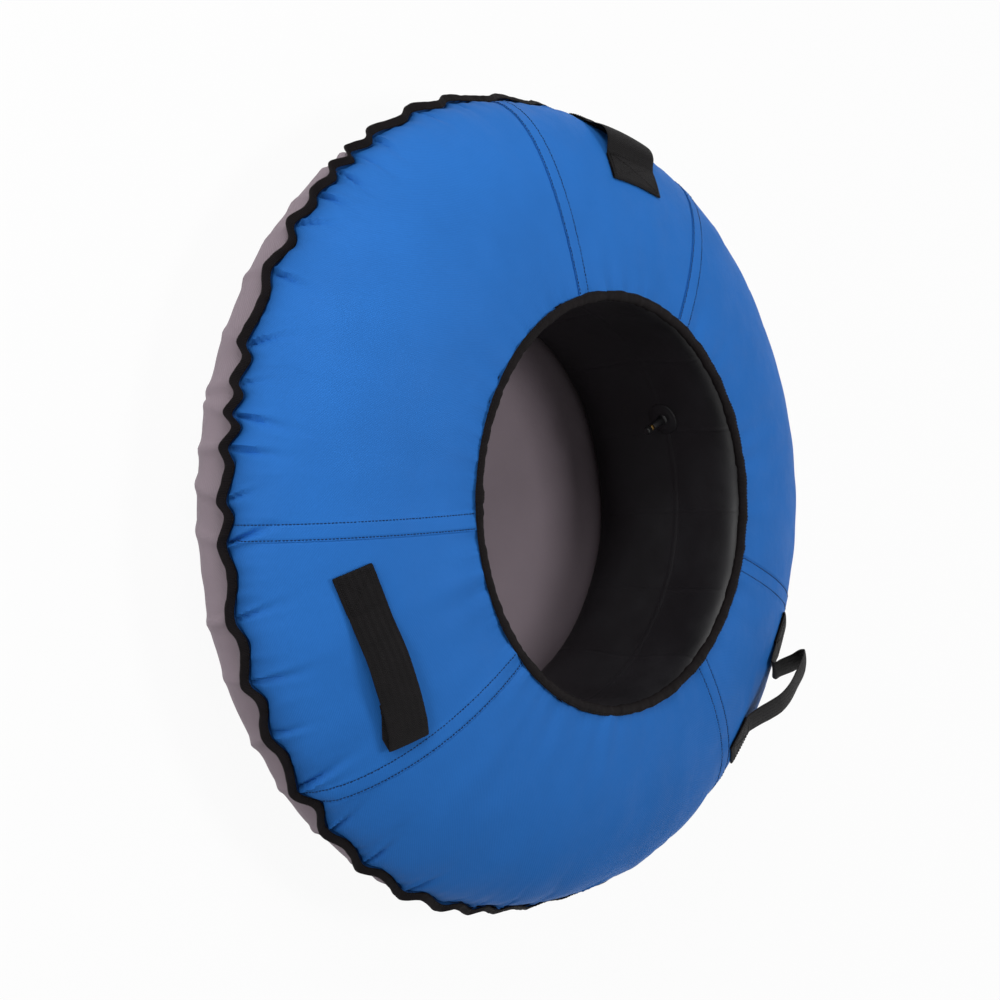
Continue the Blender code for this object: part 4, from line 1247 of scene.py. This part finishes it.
def make_valve_cap():
    """The screw cap, ribbed for grip, with a rounded top."""
    arc = np.linspace(0.0, math.pi / 2, 7)
    top = [(CAP_ROOF + CAP_TOP * math.sin(a), CAP_RADIUS - 0.0018 * (1 - math.cos(a)))
           for a in arc]
    skirt = [(float(x), CAP_RADIUS) for x in np.linspace(CAP_START + 0.0003, CAP_ROOF, 8)[:-1]]
    profile = ([(CAP_ROOF, 0.0), (CAP_ROOF, CAP_MOUTH_RADIUS), (CAP_START, CAP_MOUTH_RADIUS),
                (CAP_START, CAP_RADIUS - 0.0003)] + skirt + top + [(CAP_ROOF + CAP_TOP, 0.0)])
    piece = turned_piece("valve_screw_cap", profile, finish("moulded_polyethylene"), cap_ribs)
    settle(piece, "cap", "cap_plastic_black", "valve_cap")


def side_place(middle, line_radius):
    """Where a side handle's along, lift and across lie.

    Along runs straight beside the hole, at the line radius from the tube's axis, and
    across is shortened in plan by the slope of the dome. The point's plan radius and
    azimuth then give its place on the dome.
    """
    slope = float(section(HANDLE_RUN)[3])

    def place(along, lift, across):
        over = line_radius + across * slope
        reach = np.hypot(over, along)
        run = DOME_RUN - np.interp(reach, ARC_RADIUS[:SECTION_STEPS], ARC[:SECTION_STEPS])
        return cover_point(1, middle + np.arctan2(along, over), run, lift)
    return place


def front_place(along, lift, across):
    """Where the front strap's along, lift and across lie: along runs out over the dome."""
    run = FRONT_RUN - along
    return cover_point(1, FRONT_AZIMUTH + across / section(run)[0], run, lift)


def fold(along, lift, start, end):
    """The round turn of webbing doubled back on itself, as middle-line points."""
    turns = np.radians(np.linspace(start, end, 9))
    return [(along + FOLD_RADIUS * math.cos(t), lift + FOLD_RADIUS * math.sin(t))
            for t in turns]


def smooth_line(points, step):
    """A cubic through points, read every step metres.

    Its slope at each point comes from the distances to the points on both sides.
    """
    knots = np.array(points, float)
    arc = arc_length(knots)
    slope = np.gradient(knots, arc, axis=0)
    at = np.linspace(0.0, arc[-1], int(arc[-1] / step) + 2)
    k = np.clip(np.searchsorted(arc, at, side="right") - 1, 0, len(arc) - 2)
    span = (arc[k + 1] - arc[k])[:, None]
    share = (at[:, None] - arc[k][:, None]) / span
    return cubic(knots[k], slope[k] * span, knots[k + 1], slope[k + 1] * span, share)


def make_webbing(name, path, place, width, skew=(0.0, 0.0)):
    """A length of webbing along a smooth middle line of (along, lift) points.

    Its section is a flat oval: half the thickness times the root of 1 less the tenth
    power of the share across. skew moves it sideways, at even steps along its length.
    """
    line = smooth_line(path, STRAP_STEP)
    lead = unit(np.gradient(line, axis=0))
    side = np.stack([-lead[:, 1], lead[:, 0]], -1)
    arc = arc_length(line)
    count = STRAP_COLUMNS
    share = (np.sin(np.linspace(-math.pi / 2, math.pi / 2, count)) * 0.6
             + np.linspace(-1.0, 1.0, count) * 0.4)
    edge = np.sqrt(np.maximum(1 - np.abs(share) ** 10, 0.0))
    share = np.concatenate([share, share[-2:0:-1]])
    edge = np.concatenate([edge, -edge[-2:0:-1]]) * STRAP_THICKNESS / 2
    move = np.interp(arc / arc[-1], np.linspace(0.0, 1.0, len(skew)), skew)[:, None]
    waver, sway = (size * np.sin(arc / wave)[:, None]
                   for size, wave in (STRAP_EDGE_WAVE, STRAP_LINE_WAVE))
    off = edge + waver * share[None, :]
    points = place(line[:, :1] + side[:, :1] * off, line[:, 1:] + side[:, 1:] * off,
                   share[None, :] * width / 2 + move + sway)
    rows, columns = points.shape[:2]
    j = np.arange(count - 1)
    cap = np.stack([j, j + 1, (columns - j - 1) % columns, (columns - j) % columns], -1)
    last = cap[:, ::-1] + (rows - 1) * columns
    quads = np.concatenate([grid_quads(rows, columns, False, True), cap[:, ::-1], last[:, ::-1]])
    uv = np.stack(np.broadcast_arrays(arc[:, None], share[None, :] * width / 2), -1)
    return add_piece(name, points, quads, finish("woven_polypropylene_webbing"), uv,
                     sharp=60.0, weld=True)


def tab_path(stitch, tab):
    """A sewn end folded under itself, from its stitch line out to the fold and back."""
    outward = math.copysign(1.0, stitch)
    corner = stitch + outward * (tab - FOLD_RADIUS - STRAP_THICKNESS / 2)
    run = np.linspace(stitch, corner, 8)
    turn = fold(0.0, TAB_LOWER + FOLD_RADIUS, -90.0, 90.0)[1:-1]
    return ([(a, TAB_LOWER) for a in run]
            + [(corner + outward * a, lift) for a, lift in turn]
            + [(a, TAB_UPPER) for a in run[::-1]])


def rising(shares, loop, height):
    """Middle-line points from shares of half the loop's length and of its height."""
    return [(a * loop / 2, TAB_UPPER + h * height) for a, h in shares]


def tab_lines(place, stitch, tab, width):
    """Stitch lines of one sewn end: a box near its edges and a cross in the box."""
    outward = math.copysign(1.0, stitch)
    near = stitch + outward * TAB_STITCH_START
    far = stitch + outward * (tab - BOX_STITCH_INSET)
    half = width / 2 - BOX_STITCH_INSET
    corners = {"a": (near, -half), "b": (near, half), "c": (far, half), "d": (far, -half)}
    lines = []
    for first, second in ("ab", "bc", "cd", "da", "ac", "bd"):
        (a0, c0), (a1, c1) = corners[first], corners[second]
        along, across = np.linspace(a0, a1, LINE_STEPS), np.linspace(c0, c1, LINE_STEPS)
        lift = TAB_UPPER + STRAP_THICKNESS / 2 + 0.0001
        line = place(along, lift, across)
        lines.append((line, place(along, lift + 0.001, across) - line))
    return lines


def make_sewn_ends(place, loop, tab, width, names):
    """The two sewn ends of a handle. Returns their stitch lines."""
    lines = []
    for stitch, name in zip((-loop / 2, loop / 2), names):
        piece = make_webbing(name + "_webbing", tab_path(stitch, tab), place, width)
        settle(piece, "cover", "webbing_black", name)
        lines.extend(tab_lines(place, stitch, tab, width))
    return lines


def bend_between(piece, place, start, end, node_name):
    """Bake webbing's place into its points and hide the node that it stands for; the points of
    its ends are worked out but not used.
    """
    points = [Vector(place(np.array(a), np.array(h), np.array(0.0)).tolist())
              for a, h in (start, end)]
    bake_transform(piece)
    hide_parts(node_name)


def make_left_handle():
    """The left handle: its loop flops over its second end and folds back to it."""
    place = side_place(LEFT_AZIMUTH, LEFT_LINE_RADIUS)
    lines = make_sewn_ends(place, LOOP_LENGTH, TAB_LENGTH, STRAP_WIDTH,
                           ("left_tab_front", "left_tab_rear"))
    back = TAB_UPPER + 2 * FOLD_RADIUS
    stitch = LOOP_LENGTH / 2
    corner = stitch + TAB_LENGTH - FOLD_RADIUS - STRAP_THICKNESS / 2
    turn = stitch * LEFT_TURN_SHARE
    upper = ([(-stitch, TAB_UPPER)] + rising(LEFT_PATH_SHARES, LOOP_LENGTH, LEFT_LOOP_HEIGHT)
             + fold(corner, back + FOLD_RADIUS, 90.0, -90.0))
    lower = ([(corner, back)] + [(a, back) for a in np.linspace(corner, turn, 8)[1:-1]]
             + fold(turn, TAB_UPPER + FOLD_RADIUS, 90.0, 270.0) + [(stitch, TAB_UPPER)])
    loop = make_webbing("left_handle_loop", upper, place, STRAP_WIDTH, LEFT_LOOP_SKEW)
    settle(loop, "left_loop", "webbing_black", "left_handle")
    slack = make_webbing("left_handle_slack", lower, place, STRAP_WIDTH, LEFT_SLACK_SKEW)
    bend_between(slack, place, (corner - 0.002, back), (stitch + 0.003, back),
                 "left_handle")
    return lines


def make_right_handle():
    """The right handle: its loop stands up, creases and drops back in a Z."""
    place = side_place(RIGHT_AZIMUTH, RIGHT_LINE_RADIUS)
    lines = make_sewn_ends(place, LOOP_LENGTH, TAB_LENGTH, STRAP_WIDTH,
                           ("right_tab_rear", "right_tab_front"))
    stitch = LOOP_LENGTH / 2
    upper = [(-stitch, TAB_UPPER)] + rising(RIGHT_UP_SHARES, LOOP_LENGTH, RIGHT_LOOP_HEIGHT)
    lower = rising(RIGHT_DOWN_SHARES, LOOP_LENGTH, RIGHT_LOOP_HEIGHT) + [(stitch, TAB_UPPER)]
    loop = make_webbing("right_handle_loop", upper, place, STRAP_WIDTH)
    settle(loop, "right_loop", "webbing_black", "right_handle")
    drop = make_webbing("right_handle_drop", lower, place, STRAP_WIDTH)
    bend_between(drop, place, lower[0], lower[-1], "right_handle")
    return lines


def make_front_strap():
    """The wide front strap, which arches between its two sewn ends."""
    lines = make_sewn_ends(front_place, FRONT_LOOP, FRONT_TAB, FRONT_WIDTH,
                           ("front_tab_inner", "front_tab_outer"))
    stitch = FRONT_LOOP / 2
    path = ([(-stitch, TAB_UPPER)] + rising(FRONT_PATH_SHARES, FRONT_LOOP, FRONT_LOOP_HEIGHT)
            + [(stitch, TAB_UPPER)])
    arch = make_webbing("front_strap_arch", path, front_place, FRONT_WIDTH)
    bend_between(arch, front_place, path[2], path[-1], "front_strap")
    return lines


def dress_nodes():
    """Give the CAD nodes that stay their finishes."""
    for name, material in (("hem_elastic", "braided_rubber_elastic"),
                           ("valve_core", "turned_brass"), ("valve_pin", "turned_brass"),
                           ("cap_seal", "moulded_butyl_rubber")):
        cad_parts[name].data.materials.clear()
        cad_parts[name].data.materials.append(finish(material))


def add_light(name, place, aim, size, power):
    """A large soft square light that faces a point."""
    data = bpy.data.lights.new(name, "AREA")
    data.size = size
    data.energy = power
    item = bpy.data.objects.new(name, data)
    item.location = place
    item.rotation_euler = (Vector(aim) - Vector(place)).to_track_quat("-Z", "Y").to_euler()
    bpy.context.scene.collection.objects.link(item)


def seen_directly(tree):
    """1 where the camera, a mirror or a glass sees a surface, and 0 where it only lights."""
    path = node(tree, "LightPath").node.outputs
    seen = path["Is Camera Ray"]
    for ray in ("Is Glossy Ray", "Is Transmission Ray"):
        seen = node(tree, "Math", 0, {0: seen, 1: path[ray]}, operation="MAXIMUM")
    return seen


def make_floor(colour_value):
    """A plain pale floor that keeps a faint shadow under the tube.

    What sees it directly sees it mixed with plain white.
    """
    material, tree, shader = new_material("pale_floor")
    feed(tree, shader, {"Base Color": (*colour_value, 1.0), "Roughness": 0.9})
    share = node(tree, "Math", 0, {0: seen_directly(tree), 1: FLOOR_WHITE},
                 operation="MULTIPLY")
    white = node(tree, "Emission", 0, {"Strength": 1.0})
    mixed = node(tree, "MixShader", 0, {0: share, 1: shader.outputs[0], 2: white})
    tree.links.new(mixed, tree.nodes["Material Output"].inputs["Surface"])
    half, low = FLOOR_HALF, -FLOOR_GAP
    points = [(-half, -half, low), (half, -half, low), (half, half, low), (-half, half, low)]
    mesh = bpy.data.meshes.new("floor")
    mesh.from_pydata(points, [], [(0, 1, 2, 3)])
    mesh.materials.append(material)
    floor = bpy.data.objects.new("floor", mesh)
    bpy.context.scene.collection.objects.link(floor)


def make_world():
    """A soft even sky that what sees it directly sees as pale."""
    world = bpy.data.worlds.new("studio")
    world.use_nodes = True
    tree = world.node_tree
    sky = tree.nodes["Background"]
    feed(tree, sky, {"Color": (1.0, 1.0, 1.0, 1.0), "Strength": SKY_STRENGTH})
    pale = node(tree, "Background", 0, {"Strength": 1.0})
    mixed = node(tree, "MixShader", 0, {0: seen_directly(tree), 1: sky.outputs[0], 2: pale})
    tree.links.new(mixed, tree.nodes["World Output"].inputs["Surface"])
    bpy.context.scene.world = world


def make_camera():
    """The camera at the photograph's place, with the photograph's framing."""
    back, right, up = camera_axes()
    data = bpy.data.cameras.new("camera")
    data.sensor_width = SENSOR_MM
    data.lens = FOCAL_PX * SENSOR_MM / IMAGE_PX
    data.shift_x = (IMAGE_PX / 2 - CENTRE_PX[0]) / IMAGE_PX
    data.shift_y = (CENTRE_PX[1] - IMAGE_PX / 2) / IMAGE_PX
    item = bpy.data.objects.new("camera", data)
    aim = np.array([0.0, 0.0, CAMERA_AIM_HEIGHT])
    turn = Matrix(np.stack([right, up, back], 1).tolist()).to_4x4()
    item.matrix_world = Matrix.Translation((aim + back * CAMERA_DISTANCE).tolist()) @ turn
    bpy.context.scene.collection.objects.link(item)
    bpy.context.scene.camera = item


class SNOWTUBE_OT_panels(bpy.types.Operator):
    """Make the six blue panels and the allowances inside their seams"""

    bl_idname = "snow_tube.panels"
    bl_label = "Panels"

    def execute(self, context):
        fabric = context.scene.snow_tube_sizes.fabric
        for index in range(len(SEAMS)):
            make_panel(index, fabric)
            make_seam_allowance(index, fabric)
        return {"FINISHED"}


class SNOWTUBE_OT_base(bpy.types.Operator):
    """Make the grey base with its skirt"""

    bl_idname = "snow_tube.base"
    bl_label = "Base"

    def execute(self, context):
        make_base(context.scene.snow_tube_sizes.fabric)
        return {"FINISHED"}


class SNOWTUBE_OT_bindings(bpy.types.Operator):
    """Make the tape over the bound seam and the tape casing round the hole"""

    bl_idname = "snow_tube.bindings"
    bl_label = "Bindings"

    def execute(self, context):
        make_rim_binding(context.scene.snow_tube_sizes)
        make_hole_binding()
        return {"FINISHED"}


class SNOWTUBE_OT_topstitching(bpy.types.Operator):
    """Sew the stitches along the seams and the tapes"""

    bl_idname = "snow_tube.topstitching"
    bl_label = "Topstitching"

    def execute(self, context):
        sizes = context.scene.snow_tube_sizes
        make_stitches("seam_topstitching", seam_lines(sizes), sizes,
                      "bonded_polyester_thread_navy", "cover")
        make_stitches("binding_topstitching", binding_lines(sizes), sizes,
                      "bonded_polyester_thread_black", "cover")
        return {"FINISHED"}


class SNOWTUBE_OT_ring(bpy.types.Operator):
    """Make the rubber ring and the rubber base of its valve"""

    bl_idname = "snow_tube.ring"
    bl_label = "Rubber ring"

    def execute(self, context):
        make_ring()
        make_patch()
        return {"FINISHED"}


class SNOWTUBE_OT_valve(bpy.types.Operator):
    """Make the valve's sleeve, insert and cap, and finish its smaller parts"""

    bl_idname = "snow_tube.valve"
    bl_label = "Valve"

    def execute(self, context):
        make_valve_stem()
        make_valve_cap()
        dress_nodes()
        return {"FINISHED"}


class SNOWTUBE_OT_handles(bpy.types.Operator):
    """Make the webbing handles and sew their ends"""

    bl_idname = "snow_tube.handles"
    bl_label = "Handles"

    def execute(self, context):
        lines = make_left_handle() + make_right_handle() + make_front_strap()
        make_stitches("handle_stitching", lines, context.scene.snow_tube_sizes,
                      "bonded_polyester_thread_black", "cover")
        return {"FINISHED"}


class SNOWTUBE_OT_stage(bpy.types.Operator):
    """Make the floor, the sky, the lights and the camera"""

    bl_idname = "snow_tube.stage"
    bl_label = "Stage"

    def execute(self, context):
        make_floor(context.scene.snow_tube_colours.floor)
        make_world()
        make_camera()
        for row in LIGHTS:
            add_light(*row)
        context.scene.view_settings.view_transform = "Standard"
        return {"FINISHED"}


OPERATORS = (SNOWTUBE_OT_panels, SNOWTUBE_OT_base, SNOWTUBE_OT_bindings,
             SNOWTUBE_OT_topstitching, SNOWTUBE_OT_ring, SNOWTUBE_OT_valve,
             SNOWTUBE_OT_handles, SNOWTUBE_OT_stage)


class SNOWTUBE_PT_sidebar(bpy.types.Panel):
    """Lists the snow tube's sizes, colours and steps."""

    bl_idname = "SNOWTUBE_PT_sidebar"
    bl_label = "Snow Tube"
    bl_space_type = "VIEW_3D"
    bl_region_type = "UI"
    bl_category = "Snow Tube"

    def draw(self, context):
        for group in (context.scene.snow_tube_sizes, context.scene.snow_tube_colours):
            for name in group.__annotations__:
                self.layout.prop(group, name)
        for operator in OPERATORS:
            self.layout.operator(operator.bl_idname)


CLASSES = (SNOWTUBE_PG_sizes, SNOWTUBE_PG_colours) + OPERATORS + (SNOWTUBE_PT_sidebar,)


def register():
    """Register the add-on's classes and give each scene its sizes and colours."""
    for item in CLASSES:
        bpy.utils.register_class(item)
    bpy.types.Scene.snow_tube_sizes = bpy.props.PointerProperty(type=SNOWTUBE_PG_sizes)
    bpy.types.Scene.snow_tube_colours = bpy.props.PointerProperty(type=SNOWTUBE_PG_colours)


def unregister():
    """Take away what register() gave, in the opposite order."""
    del bpy.types.Scene.snow_tube_colours
    del bpy.types.Scene.snow_tube_sizes
    for item in reversed(CLASSES):
        bpy.utils.unregister_class(item)


def main():
    """Register the add-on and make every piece."""
    register()
    for operator in OPERATORS:
        getattr(bpy.ops.snow_tube, operator.bl_idname.split(".")[1])()


if __name__ == "__main__":
    main()
